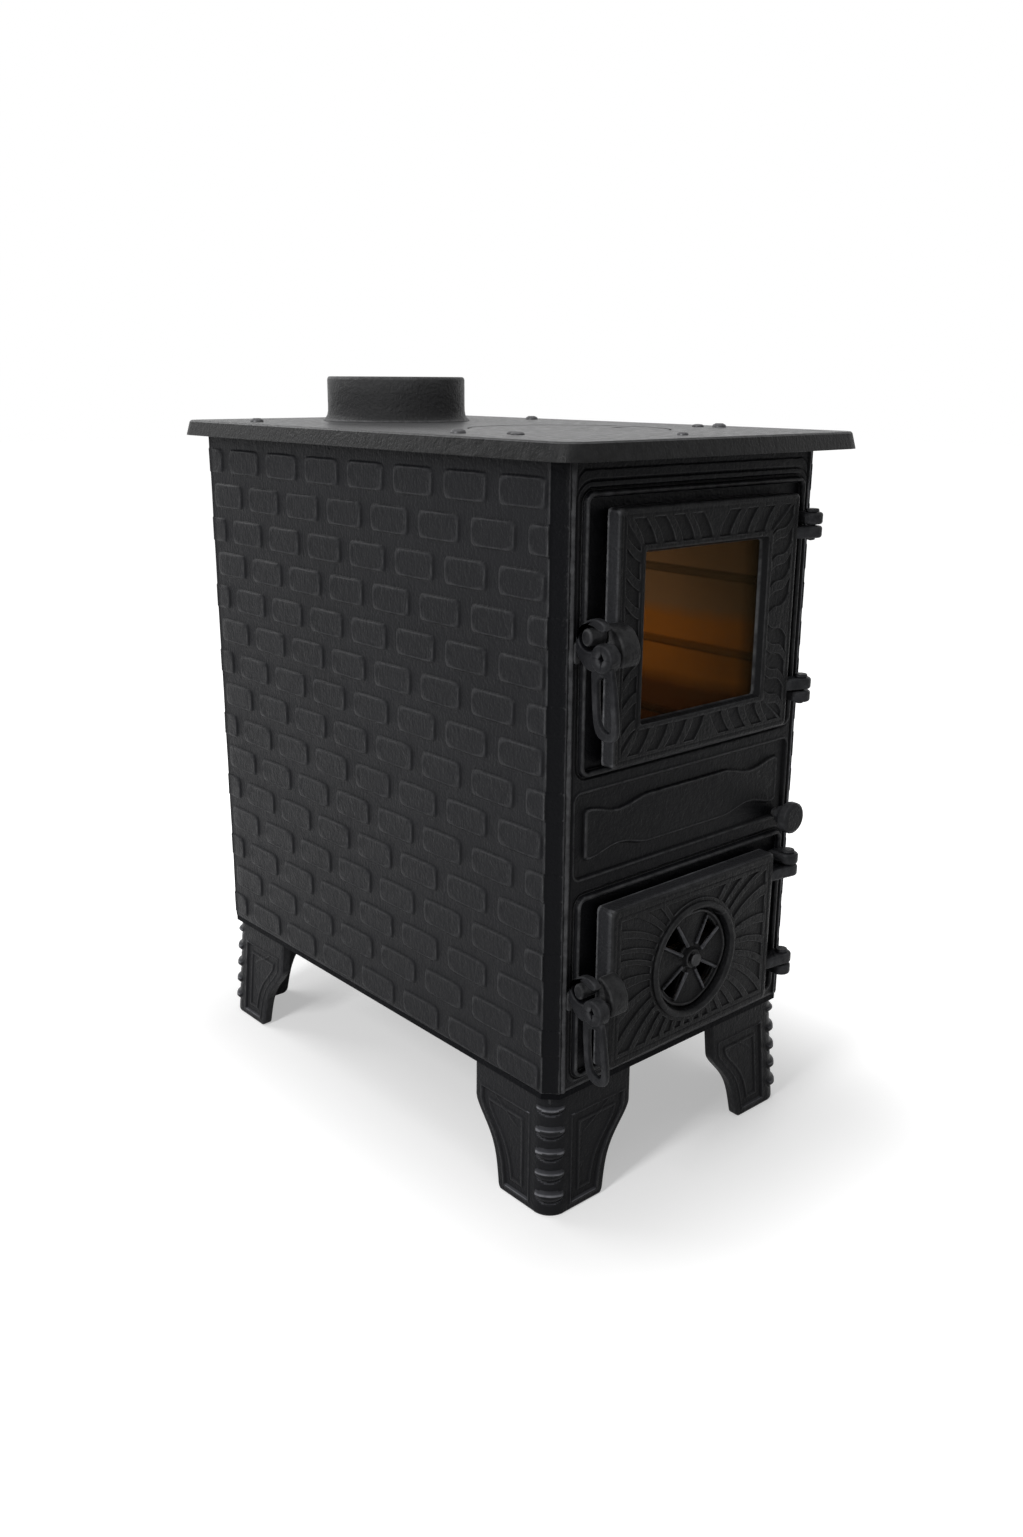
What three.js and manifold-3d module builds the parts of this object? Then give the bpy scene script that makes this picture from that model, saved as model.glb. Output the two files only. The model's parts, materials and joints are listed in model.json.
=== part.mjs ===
// A rectangular cast-iron wood stove: brick-relief side castings, a glazed fire
// door over an ash door with a spinner damper, hooked drop latches and a round
// flue collar on a wide hob plate.
// Millimetres, +Z up. The front faces -Y. The part stands on Z = 0 and is
// centred in X and Y on its own bounding box.
import * as THREE from "three";
import { mergeVertices } from "three/addons/utils/BufferGeometryUtils.js";
import Module from "manifold-3d";

const wasm = await Module();
wasm.setup();

// ---------------------------------------------------------------- dimensions
// Body
const bodyWidth = 339; // over the two side castings
const bodyDepth = 570; // front plate to back plate
const wall = 6; // casting thickness
const edgeChamfer = 12.3; // flat cut on the four upright corners
const legHeight = 120.7; // floor to the top of a leg
const baseThickness = 6;
const panelHeight = 574; // upright castings
const seat = 0.3; // gap where one piece rests on another

// Hob plate
const hobThickness = 6.4;
const hobSideOverhang = 23.5;
const hobFrontOverhang = 35;
const hobRearOverhang = 12;
const hobCorner = 24; // plan radius of its corners
const skirtDepth = 15.5; // over-all height of the turned-down edge
const skirtWall = 6;
const skirtFlare = 4; // the edge leans out by this much
const lidRadius = 97;
const lidSetForward = 117; // lid centre in front of the body centre
const lidThickness = 5.4;
const lidLedge = 9; // width of the step that the lid rests on
const lidClearance = 0.6;
const screwHead = 6.5; // pan head radius
const screwShank = 3;

// Flue collar
const collarRadius = 75;
const collarWall = 6;
const collarHeight = 46;
const collarSetBack = 158;
const collarSpigot = 12; // the part that drops through the hob
const collarFoot = 3; // flare at the base

// Brick relief of the side castings
const brickLength = 56;
const brickHeight = 25.7;
const brickRise = 2.5;
const brickBevel = 2.6;
const brickPitchAlong = 73.6;
const brickPitchUp = 37.5;
const brickFirstCentre = 44.2; // first brick centre behind the front of the body
const brickTopMargin = 22; // panel top to the first row

// Front plate
const upperDoorTop = 47.7; // door edge below the top of the panel
const upperDoorHeight = 220.6;
const lowerDoorBottom = 17.1; // door edge above the foot of the panel
const lowerDoorHeight = 158.6;
const doorLeft = 118.8; // latch edge from the centre line
const upperDoorRight = 120; // hinge edge from the centre line
const lowerDoorRight = 113;
const upperDoorDepth = 14.4;
const lowerDoorDepth = 18.4;
const doorWall = 6;
const doorOverlap = 14; // door edge beyond the opening that it covers
const gasketThickness = 3;
const gasketWidth = 6;
const lipSide = 25; // bead beyond the door edge, left and right
const lipAbove = 13.5;
const lipBelow = 6.5;
const lipWidth = 4;
const lipRise = 4;
const lipCorner = 10;
const plaqueHeight = 49;
const plaqueWidth = 270;
const plaqueWave = 7; // depth of the ogee notches of its edges
const recessMargin = 15;
const recessDepth = 2.5;
const plaqueCentre = 245; // above the foot of the panel

// Hinges
const hingeOut = 17; // pin axis in front of the plate
const hingeFromDoor = 20.6; // pin axis beyond the upper door's edge
const knuckleRadius = 10;
const knuckleHeight = 11;
const knuckleGap = 1.6;
const pinRadius = 4;
const pinClearance = 0.35;
const pinHead = 6.6;
const pinHeadHeight = 3;
const upperHingeDrop = 30; // top pair below the door's top edge
const upperHingeRise = 32.5; // bottom pair above the door's lower edge
const lowerHingeDrop = 18.7;
const lowerHingeRise = 30.8;

// Latches
const latchOut = 33; // pivot in front of the plate
const latchOffset = 33.2; // lever's outer face beyond the door edge
const leverThickness = 7;
const bossLength = 10;
const bossRadius = 12.3;
const hookReach = 28.2;
const hookWall = 5.8;
const gripLength = 69; // pivot to the end of the grip
const gripLean = 20.6; // front of the grip ahead of the pivot
const latchPinRadius = 4;
const shoulderRadius = 9;
const lugOverhang = 14; // lug beyond the door edge
const lugWidth = 21;
const lugRise = 6.8; // lug nose in front of the pivot axis
const lugUp = 25; // lug above the pivot axis
const lugDown = 10;
const upperLatchUp = 103.5; // pivot above the door's lower edge
const lowerLatchUp = 75;

// Window
const windowLeft = 87.4;
const windowRight = 84.6;
const windowBottom = 35.4; // rail below the glass
const windowTop = 37; // rail above it
const glassThickness = 4;
const glassLap = 9;
const stripWidth = 13;
const stripThickness = 2;

// Spinner damper
const spinnerX = -3.8;
const spinnerUp = 78.9; // centre above the ash door's lower edge
const throatRadius = 51; // opening in the ash door
const throatWall = 5;
const ringWidth = 8;
const ringRise = 2.4;
const discClearance = 1.4;
const discThickness = 3;
const discSetBack = 6; // petals behind the door face
const seatThickness = 4; // fixed plate behind the disc
const portInner = 14;
const portOuter = 43;
const portAngle = 40; // degrees, each of four wedge ports
const portRib = 2.2; // height of the raised edges of the ports
const petalCrease = 1.6;
const hubRadius = 10.5;
const hubRise = 4;
const boltRadius = 4;
const nutRadius = 6.5;
const nutHeight = 5;

// Grate, liners and ash pan
const grateUp = 193; // ledge above the foot of the panel
const grateThickness = 8;
const ledgeWidth = 12;
const ledgeHeight = 8;
const barPitch = 36;
const barSlot = 16;
const shakerWidth = 200;
const shakerDepth = 330;
const shakerThickness = 8;
const shakerTravel = 25;
const rodRadius = 5;
const rodSide = 137; // rod to the right of the centre line
const knobRadius = 16;
const knobLength = 11;
const knobGap = 14; // plate to the back of the knob
const knobNeck = 9;
const linerThickness = 10;
const linerHeight = 310;
const linerRibs = 3;
const linerRib = 4;
const baffleThickness = 6;
const baffleDepth = 380;
const baffleLift = 22; // front edge turned up
const baffleRun = 40; // length of the turned-up front
const linerSetBack = 17; // side liners behind the front plate
const ledgeSetBack = 30; // grate ledges short of the panel's ends
const slotSetOff = 44; // middle of the frame's slots beyond its well
const panWidth = 190;
const panDepth = 440;
const panHeight = 62;
const panWall = 2;
const panRim = 5;
const panTab = 28; // drop of the pull tab
const panSetBack = 30; // behind the front plate
const railHeight = 22;
const railWidth = 10;

// Legs
const legFlange = 105; // width of each flange at the top
const legFoot = 70; // width at the floor
const legStraight = 36; // straight length below the body
const legWall = 9;
const legCorner = 19;
const legInset = 5; // flange behind the body face at the top
const legSplay = 7; // outward lean over the height
const legBand = 1.8; // height of the raised border
const legBorder = 11; // width of the raised border
const legRibs = 4;
const legRibDrop = 36.5; // middle of the top band below the leg's top
const legRibPitch = 21.6;
const legRibHeight = 11;
const legRibRise = 3;
const legTab = 7; // thickness of the tab under the base
const legBolt = 4;

// ------------------------------------------------------------ derived places
const halfW = bodyWidth / 2;
const frontY = -bodyDepth / 2;
const rearY = bodyDepth / 2;
const baseZ0 = legHeight + seat;
const baseZ1 = baseZ0 + baseThickness;
const panelZ0 = baseZ1 + seat;
const panelZ1 = panelZ0 + panelHeight;
const hobZ0 = panelZ1 + seat;
const hobZ1 = hobZ0 + hobThickness;
const skirtZ = hobZ1 - skirtDepth;
const frontHalf = halfW - edgeChamfer - seat; // half width of the front plate
const upperZ1 = panelZ1 - upperDoorTop;
const upperZ0 = upperZ1 - upperDoorHeight;
const lowerZ0 = panelZ0 + lowerDoorBottom;
const lowerZ1 = lowerZ0 + lowerDoorHeight;
const doorBack = frontY - gasketThickness - 2 * seat;
const upperFace = doorBack - upperDoorDepth;
const lowerFace = doorBack - lowerDoorDepth;
const hingeX = upperDoorRight + hingeFromDoor;
const hingeY = frontY - hingeOut;
const latchX = -doorLeft - latchOffset; // outer face of a lever
const latchY = frontY - latchOut;
const lugX = -doorLeft - lugOverhang;
const upperLatchZ = upperZ0 + upperLatchUp;
const lowerLatchZ = lowerZ0 + lowerLatchUp;
const spinnerZ = lowerZ0 + spinnerUp;
const grateZ = panelZ0 + grateUp + seat;
const shakerZ = grateZ + grateThickness + seat;
const rodZ = shakerZ + rodRadius + seat;
const linerFoot = grateZ + grateThickness + seat;
const linerTop = linerFoot + linerHeight;
const innerX = halfW - wall; // inner face of a side casting
const linerX = innerX - 2.5;
const linerY = rearY - wall - linerThickness + seat; // back end of the side liners
const backLinerX = halfW - edgeChamfer - wall - 2;
const lidY = -lidSetForward;
const screws = [
  [-halfW + 14.5, 195],
  [-halfW + 14.5, -140],
  [halfW - 14.5, 107],
  [halfW - 14.5, -172],
];
const frontReach = -latchY + gripLean;
const rearReach = rearY + hobRearOverhang;
const shiftY = (frontReach - rearReach) / 2;

// ------------------------------------------------------------- shape helpers
const V2 = (x, y) => new THREE.Vector2(x, y);

function solid(geometry) {
  const g = geometry.index ? geometry.toNonIndexed() : geometry.clone();
  g.deleteAttribute("normal");
  g.deleteAttribute("uv");
  const m = mergeVertices(g, 1e-4);
  return new wasm.Manifold(
    new wasm.Mesh({
      numProp: 3,
      vertProperties: m.attributes.position.array,
      triVerts: new Uint32Array(m.index.array),
    }),
  );
}

const join = (first, ...rest) => rest.reduce((a, b) => a.add(b), first);
const cut = (first, ...rest) => rest.reduce((a, b) => a.subtract(b), first);

function shapeOf(points, holes = []) {
  const s = new THREE.Shape(points);
  for (const h of holes) s.holes.push(new THREE.Path(h));
  return s;
}

function extrude(shape, depth) {
  return new THREE.ExtrudeGeometry(shape, {
    depth,
    bevelEnabled: false,
    curveSegments: 8,
  });
}

// A plan outline (x, y) raised from z0 to z1.
function alongZ(shape, z0, z1) {
  return solid(extrude(shape, z1 - z0).translate(0, 0, z0));
}

// A front outline (x, z) given depth from y0 back to y1.
function alongY(shape, y0, y1) {
  return solid(extrude(shape, y1 - y0).rotateX(Math.PI / 2).translate(0, y1, 0));
}

// A side outline (y, z) given width from x0 to x1.
const toSide = new THREE.Matrix4().set(0, 0, 1, 0, 1, 0, 0, 0, 0, 1, 0, 0, 0, 0, 0, 1);
function alongX(shape, x0, x1) {
  return solid(extrude(shape, x1 - x0).applyMatrix4(toSide).translate(x0, 0, 0));
}

function box(x0, x1, y0, y1, z0, z1) {
  const g = new THREE.BoxGeometry(x1 - x0, y1 - y0, z1 - z0);
  return solid(g.translate((x0 + x1) / 2, (y0 + y1) / 2, (z0 + z1) / 2));
}

function rect(x0, x1, y0, y1) {
  return [V2(x0, y0), V2(x1, y0), V2(x1, y1), V2(x0, y1)];
}

function arc(cx, cy, r, from, to, steps) {
  const out = [];
  for (let i = 0; i <= steps; i++) {
    const a = ((from + ((to - from) * i) / steps) * Math.PI) / 180;
    out.push(V2(cx + r * Math.cos(a), cy + r * Math.sin(a)));
  }
  return out;
}

function rounded(x0, x1, y0, y1, r, steps = 3) {
  return [
    ...arc(x1 - r, y0 + r, r, 270, 360, steps),
    ...arc(x1 - r, y1 - r, r, 0, 90, steps),
    ...arc(x0 + r, y1 - r, r, 90, 180, steps),
    ...arc(x0 + r, y0 + r, r, 180, 270, steps),
  ];
}

function circle(cx, cy, r, steps = 24) {
  return arc(cx, cy, r, 0, 360 - 360 / steps, steps - 1);
}

// Closed skin through rings of equal count, each counter-clockwise about the
// way from the first ring to the last.
function loft(rings) {
  const n = rings[0].length;
  const p = [];
  const tri = (a, b, c) => p.push(...a.toArray(), ...b.toArray(), ...c.toArray());
  for (let k = 0; k + 1 < rings.length; k++)
    for (let i = 0; i < n; i++) {
      const j = (i + 1) % n;
      tri(rings[k][i], rings[k][j], rings[k + 1][j]);
      tri(rings[k][i], rings[k + 1][j], rings[k + 1][i]);
    }
  const first = rings[0];
  const last = rings[rings.length - 1];
  for (let i = 1; i + 1 < n; i++) {
    tri(first[0], first[i + 1], first[i]);
    tri(last[0], last[i], last[i + 1]);
  }
  const g = new THREE.BufferGeometry();
  g.setAttribute("position", new THREE.Float32BufferAttribute(p, 3));
  return solid(g);
}

const atZ = (points, z) => points.map((p) => new THREE.Vector3(p.x, p.y, z));
const atY = (points, y) => points.map((p) => new THREE.Vector3(p.x, y, p.y));

// A turned piece: profile of (radius, z), about the Z axis.
function turned(profile, steps = 24) {
  return solid(
    new THREE.LatheGeometry(profile.map(([r, z]) => V2(r, z)), steps).rotateX(Math.PI / 2),
  );
}

const facing = {
  z: (s) => s,
  y: (s) => s.rotate([90, 0, 0]), // profile z runs to -Y
  x: (s) => s.rotate([0, 90, 0]), // profile z runs to +X
};

function rod(axis, at, r, from, to, steps = 16) {
  const g = new THREE.CylinderGeometry(r, r, to - from, steps);
  const mid = (from + to) / 2;
  if (axis === "z") g.rotateX(Math.PI / 2).translate(at[0], at[1], mid);
  if (axis === "y") g.translate(at[0], mid, at[1]);
  if (axis === "x") g.rotateZ(Math.PI / 2).translate(mid, at[0], at[1]);
  return solid(g);
}

// -------------------------------------------------------------- scene helpers
const iron = (hex, rough = 0.72, metal = 0.55) =>
  new THREE.MeshStandardMaterial({ color: hex, roughness: rough, metalness: metal });
const looks = {
  side: iron(0x303032),
  front: iron(0x1d1d1f, 0.66),
  hob: iron(0x3a3a3c, 0.6),
  inner: iron(0x4a3a2c, 0.9, 0.2),
  steel: iron(0x6d6d70, 0.45, 0.9),
  pan: iron(0x2b2b2d, 0.6, 0.7),
};
const glassLook = new THREE.MeshStandardMaterial({
  color: 0x7a4412,
  roughness: 0.12,
  metalness: 0,
  transparent: true,
  opacity: 0.55,
});
const ropeLook = new THREE.MeshStandardMaterial({ color: 0x161616, roughness: 1 });

function group(parent, at) {
  const g = new THREE.Group();
  const home = parent.userData.at || new THREE.Vector3();
  g.userData.at = at.clone();
  g.position.copy(at).sub(home);
  parent.add(g);
  return g;
}

function add(parent, name, made, material) {
  const m = made.getMesh();
  const at = parent.userData.at || new THREE.Vector3();
  const g = new THREE.BufferGeometry();
  const v = new Float32Array(m.numVert * 3);
  for (let i = 0; i < m.numVert; i++)
    v.set(m.vertProperties.subarray(i * m.numProp, i * m.numProp + 3), i * 3);
  g.setAttribute("position", new THREE.BufferAttribute(v, 3));
  g.setIndex(new THREE.BufferAttribute(m.triVerts, 1));
  g.translate(-at.x, -at.y, -at.z);
  g.computeVertexNormals();
  const mesh = new THREE.Mesh(g, material);
  mesh.name = name;
  parent.add(mesh);
  return mesh;
}

const stove = new THREE.Group();
stove.position.y = shiftY;
const body = group(stove, new THREE.Vector3());

// ------------------------------------------------------------- side castings
// One brick of the relief, folded over an upright corner where it crosses one.
// s runs along the body depth, z up; side is -1 for the left casting.
function brick(side, s0, s1, z0, z1) {
  const ridge = rearY - edgeChamfer;
  const far = ridge + edgeChamfer * Math.SQRT2 - 3;
  const t = Math.tan(Math.PI / 8);
  const parts = [];
  const c = Math.SQRT1_2;
  // Place a point (s, z) at height h on the flat side or on a corner face.
  const place = (s, z, h, zone) => {
    const mirror = zone < 0 ? -1 : 1;
    const along = Math.abs(s) - ridge;
    let x = halfW + h;
    let y = s;
    if (zone) {
      x = halfW - along * c + h * c;
      y = mirror * (ridge + along * c + h * c);
    }
    return new THREE.Vector3(side * x, y, z);
  };
  const piece = (a, b, zone, cutA, cutB) => {
    const ring = (h, inset, mitre) => {
      const u0 = a + (cutA ? mitre[0] : inset);
      const u1 = b - (cutB ? mitre[1] : inset);
      const w0 = z0 + inset;
      const w1 = z1 - inset;
      const at = (u, w) => place(u, w, h, zone);
      return [at(u0, w0), at(u1, w0), at(u1, w1), at(u0, w1)];
    };
    const sink = -1;
    const mitreAt = (h) => {
      const m = (zone ? 1 : -1) * h * t;
      return [m, m];
    };
    const low = ring(sink, 0, mitreAt(sink));
    const high = ring(brickRise, brickBevel, mitreAt(brickRise));
    const flip = side < 0;
    parts.push(loft(flip ? [low.reverse(), high.reverse()] : [low, high]));
  };
  const lo = Math.max(s0, -ridge);
  const hi = Math.min(s1, ridge);
  if (hi - lo > 2 * brickBevel) piece(lo, hi, 0, s0 < -ridge, s1 > ridge);
  if (s1 > ridge + 2 * brickBevel) piece(ridge, Math.min(s1, far), 1, true, false);
  if (s0 < -ridge - 2 * brickBevel) piece(Math.max(s0, -far), -ridge, -1, false, true);
  return parts;
}

function sideCasting(side) {
  const r = rearY - edgeChamfer;
  const i = wall * Math.tan(Math.PI / 8);
  const w = halfW;
  const c = edgeChamfer;
  const plan = [
    V2(w, -r), V2(w, r), V2(w - c, rearY), V2(w - c, rearY - wall),
    V2(w - c - i + wall * 0.2, rearY - wall), V2(w - wall, r - i), V2(w - wall, -r + i),
    V2(w - c - i + wall * 0.2, -rearY + wall), V2(w - c, -rearY + wall), V2(w - c, -rearY),
  ].map((p) => V2(side * p.x, p.y));
  let made = alongZ(shapeOf(plan), panelZ0, panelZ1);
  const rows = Math.floor((panelHeight - brickTopMargin) / brickPitchUp + 0.3);
  const bricks = [];
  for (let row = 0; row < rows; row++) {
    const top = panelZ1 - brickTopMargin - row * brickPitchUp;
    const start = frontY + brickFirstCentre + ((row % 2) * brickPitchAlong) / 2;
    const first = Math.ceil((frontY - start) / brickPitchAlong);
    for (let j = first; start + j * brickPitchAlong < rearY; j++) {
      const mid = start + j * brickPitchAlong;
      const ends = [mid - brickLength / 2, mid + brickLength / 2];
      bricks.push(...brick(side, ...ends, top - brickHeight, top));
    }
  }
  made = join(made, wasm.Manifold.union(bricks));
  // Ledge that carries the grate, and ears for the hob screws.
  const ledgeZ = grateZ - seat;
  const inner = side * innerX;
  const edge = side * (innerX - ledgeWidth);
  const span = [Math.min(inner, edge), Math.max(inner, edge)];
  const root = side * 1;
  const wide = [span[0] + Math.min(0, root), span[1] + Math.max(0, root)];
  made = join(made, box(...wide, -r + ledgeSetBack, r - ledgeSetBack, ledgeZ - ledgeHeight, ledgeZ));
  for (const [x, y] of screws.filter((s) => Math.sign(s[0]) === side)) {
    const tip = x - side * (screwHead + 1);
    const ear = [Math.min(tip, inner + root), Math.max(tip, inner + root)];
    made = join(made, box(...ear, y - 9, y + 9, panelZ1 - 12, panelZ1));
    made = cut(made, rod("z", [x, y], screwShank + seat, panelZ1 - 20, panelZ1 + 1, 10));
  }
  return made;
}
add(body, "left_side_panel", sideCasting(-1), looks.side);
add(body, "right_side_panel", sideCasting(1), looks.side);

// ---------------------------------------------------------------- base plate
function basePlate() {
  const c = edgeChamfer;
  const plan = [
    V2(halfW - c, frontY), V2(halfW, frontY + c), V2(halfW, rearY - c), V2(halfW - c, rearY),
    V2(-halfW + c, rearY), V2(-halfW, rearY - c), V2(-halfW, frontY + c), V2(-halfW + c, frontY),
  ];
  let made = alongZ(shapeOf(plan), baseZ0, baseZ1);
  const rail = panWidth / 2 - 2 * railWidth;
  for (const x of [-rail, rail]) {
    const y = [frontY + panSetBack, frontY + panSetBack + panDepth];
    made = join(made, box(x - railWidth / 2, x + railWidth / 2, ...y, baseZ1 - 1, baseZ1 + railHeight));
  }
  for (const [x, y] of legBolts())
    made = cut(made, rod("z", [x, y], legBolt + seat, baseZ0 - 1, baseZ1 + 1, 12));
  return made;
}

function legBolts() {
  const x = halfW - legInset - legFlange * 0.42;
  const y = rearY - legInset - legFlange * 0.42;
  return [[-x, -y], [x, -y], [x, y], [-x, y]];
}
add(body, "base_plate", basePlate(), looks.front);

// ---------------------------------------------------------------------- legs
// One flange outline: width across, height up; the inner edge is an ogee.
function legOutline(inset) {
  const h = legHeight;
  const w = legFlange;
  const f = legFoot;
  const z = h - legStraight;
  const out = [V2(inset, inset * 0.8), V2(f - inset * 0.7, inset * 0.8)];
  const steps = 6;
  for (let i = 1; i <= steps; i++) {
    const t = i / steps;
    const ease = 0.3 * t + 0.7 * (0.5 - 0.5 * Math.cos(Math.PI * Math.pow(t, 2.2)));
    out.push(V2(f - inset + (w - f) * ease, t * z + inset * 0.4 * (1 - t)));
  }
  out.push(V2(w - inset, h - inset), V2(inset, h - inset));
  return out;
}

function leg(sx, sy) {
  const u = halfW - legInset;
  const v = rearY - legInset;
  const lean = legSplay / legHeight;
  const outline = legOutline(0);
  const panel = legOutline(legBorder);
  // Flange across the front or back, then the one along the side. Local axes
  // run inwards from the outer corner at (0, 0).
  const inwards = (pts) => pts.map((p) => V2(p.x, p.y));
  let a = alongY(shapeOf(inwards(outline)), 0, legWall);
  a = cut(a, alongY(shapeOf(inwards(panel)), -1, legBand));
  let b = alongX(shapeOf(inwards(outline)), 0, legWall);
  b = cut(b, alongX(shapeOf(inwards(panel)), -1, legBand));
  let made = join(a, b);
  // Tab under the base plate for the bolt.
  const tab = legFlange * 0.62;
  const tabPlan = [V2(1, 1), V2(tab, 1), V2(tab, tab * 0.55), V2(tab * 0.55, tab), V2(1, tab)];
  made = join(made, alongZ(shapeOf(tabPlan), legHeight - legTab, legHeight));
  const at = legFlange * 0.42;
  const slack = legBolt + 2 * seat + legTab * lean;
  made = cut(made, rod("z", [at, at], slack, legHeight - legTab - 1, legHeight + 1, 12));
  // Round outer corner, with proud bands across it.
  const keep = (r, z0, z1, out) =>
    alongZ(
      shapeOf([
        ...arc(r - out, r - out, r, 180, 270, 4),
        V2(legFlange + 5, -out), V2(legFlange + 5, legFlange + 5), V2(-out, legFlange + 5),
      ]),
      z0, z1,
    );
  made = made.intersect(keep(legCorner, -1, legHeight + 1, 0));
  for (let i = 0; i < legRibs; i++) {
    const z = legHeight - legRibDrop - legRibPitch * i;
    const half = legRibHeight / 2;
    const r = legCorner;
    const ring = (out) => [
      ...arc(r, r, r + out, 176, 274, 4),
      V2(r * 1.02, r * 0.35), V2(r * 0.35, r * 1.02),
    ];
    made = join(made, loft([
      atZ(ring(-0.6), z - half - 1), atZ(ring(legRibRise), z - half * 0.7),
      atZ(ring(legRibRise * 0.8), z + half * 0.6), atZ(ring(-0.6), z + half + 1),
    ]));
  }
  // Lean outwards towards the floor, then turn to its corner.
  made = made.warp((p) => {
    const k = (legHeight - p[2]) * lean;
    p[0] -= k;
    p[1] -= k;
  });
  if (sx < 0 && sy < 0) made = made.translate([-u, -v, 0]);
  if (sx > 0 && sy < 0) made = made.mirror([1, 0, 0]).translate([u, -v, 0]);
  if (sx > 0 && sy > 0) made = made.mirror([1, 0, 0]).mirror([0, 1, 0]).translate([u, v, 0]);
  if (sx < 0 && sy > 0) made = made.mirror([0, 1, 0]).translate([-u, v, 0]);
  return made;
}

const corners = { front_left: [-1, -1], front_right: [1, -1], rear_right: [1, 1], rear_left: [-1, 1] };
Object.entries(corners).forEach(([name, [sx, sy]], i) => {
  add(body, "leg_" + name, leg(sx, sy), looks.side);
  const [x, y] = legBolts()[i];
  const head = legBolt * 1.8;
  const bolt = turned([
    [0, legHeight - legTab - 6], [legBolt, legHeight - legTab - 6], [legBolt, baseZ1 + seat],
    [head, baseZ1 + seat], [head, baseZ1 + 5], [0, baseZ1 + 5],
  ], 8);
  add(body, "leg_bolt_" + name, bolt.translate([x, y, 0]), looks.steel);
});

// --------------------------------------------------------------- front plate
const beads = (z0, z1, right) => ({
  outer: rounded(-doorLeft - lipSide, right + lipSide, z0 - lipBelow, z1 + lipAbove, lipCorner, 3),
  inner: rounded(
    -doorLeft - lipSide + lipWidth, right + lipSide - lipWidth,
    z0 - lipBelow + lipWidth, z1 + lipAbove - lipWidth, lipCorner - lipWidth * 0.6, 3,
  ),
});

// Plaque outline with ogee notches in its top and bottom edges.
function plaqueOutline() {
  const w = plaqueWidth / 2;
  const h = plaqueHeight / 2;
  const mid = panelZ0 + plaqueCentre;
  const dip = (x) => {
    const t = Math.abs(x) / w;
    if (t < 0.38 || t > 0.98) return 0;
    const k = (t - 0.38) / 0.6;
    return plaqueWave * Math.sin(Math.PI * k) ** 2 * (k < 0.5 ? 1 : 0.55 + 0.45 * Math.sin(Math.PI * k));
  };
  const xs = [];
  for (let i = 0; i <= 22; i++) xs.push(-w + (2 * w * i) / 22);
  const bottom = xs.map((x) => V2(x, mid - h + dip(x)));
  const top = xs.map((x) => V2(x, mid + h - dip(x))).reverse();
  return [...bottom, ...top];
}

// Knuckle on the plate: round nose in front, cheeks back to the plate.
function plateKnuckle(z0, z1) {
  const r = knuckleRadius;
  return alongZ(
    shapeOf([
      ...arc(hingeX, hingeY, r, 180, 360, 7),
      V2(hingeX + r, frontY + 1), V2(hingeX - r, frontY + 1),
    ]),
    z0, z1,
  );
}

// Knuckle on a door: round barrel, arm running in to the door's edge.
function doorKnuckle(edge, face, z0, z1) {
  const r = knuckleRadius;
  const inner = edge - 3;
  return alongZ(
    shapeOf([
      V2(inner, face + 0.4), ...arc(hingeX, hingeY, r, 265, 450, 7), V2(inner, doorBack - 2),
    ]),
    z0, z1,
  );
}

const bore = (z0, z1) =>
  rod("z", [hingeX, hingeY], pinRadius + pinClearance, z0 - 1, z1 + 1, 12);

// A pair: the plate's knuckle is above the door's at the top of a door, and
// below it at the foot, so that the door drops on.
function hingePair(z, plateAbove) {
  const g = knuckleGap / 2;
  const hi = [z + g, z + g + knuckleHeight];
  const lo = [z - g - knuckleHeight, z - g];
  return { plate: plateAbove ? hi : lo, door: plateAbove ? lo : hi, top: hi[1], foot: lo[0] };
}
const pairs = {
  upper_top: hingePair(upperZ1 - upperHingeDrop, true),
  upper_foot: hingePair(upperZ0 + upperHingeRise, false),
  lower_top: hingePair(lowerZ1 - lowerHingeDrop, true),
  lower_foot: hingePair(lowerZ0 + lowerHingeRise, false),
};

function frontPlate() {
  const y0 = frontY;
  const y1 = frontY + wall;
  const hole = (z0, z1, right) =>
    rounded(-doorLeft + doorOverlap, right - doorOverlap, z0 + doorOverlap, z1 - doorOverlap, 5, 2);
  const holes = [hole(upperZ0, upperZ1, upperDoorRight), hole(lowerZ0, lowerZ1, lowerDoorRight)];
  let made = alongY(shapeOf(rect(-frontHalf, frontHalf, panelZ0, panelZ1), holes), y0, y1);
  for (const b of [beads(upperZ0, upperZ1, upperDoorRight), beads(lowerZ0, lowerZ1, upperDoorRight)])
    made = join(made, alongY(shapeOf(b.outer, [b.inner]), y0 - lipRise, y0 + 1));
  // Sunk panel between the doors, with its raised plaque.
  const mid = panelZ0 + plaqueCentre;
  const w = plaqueWidth / 2 + recessMargin * 0.8;
  const h = plaqueHeight / 2 + recessMargin;
  made = cut(made, alongY(shapeOf(rounded(-w, w, mid - h, mid + h, 7, 3)), y0 - 1, y0 + recessDepth));
  made = join(made, alongY(shapeOf(plaqueOutline()), y0 - 0.5, y0 + recessDepth + 0.5));
  for (const p of Object.values(pairs)) {
    made = join(made, plateKnuckle(...p.plate));
    made = cut(made, bore(...p.plate));
  }
  // Striker pads behind the two hooks.
  for (const z of [upperLatchZ, lowerLatchZ]) {
    const pad = rounded(latchX - 1, latchX + leverThickness - 2, z - 9, z + 9, 3, 2);
    made = join(made, alongY(shapeOf(pad), y0 - latchOut + hookReach + 0.9, y0 + 1));
  }
  made = cut(made, rod("y", [rodSide, rodZ], rodRadius + 0.5, y0 - 8, y1 + 1, 16));
  return made;
}
add(body, "front_plate", frontPlate(), looks.front);

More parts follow.
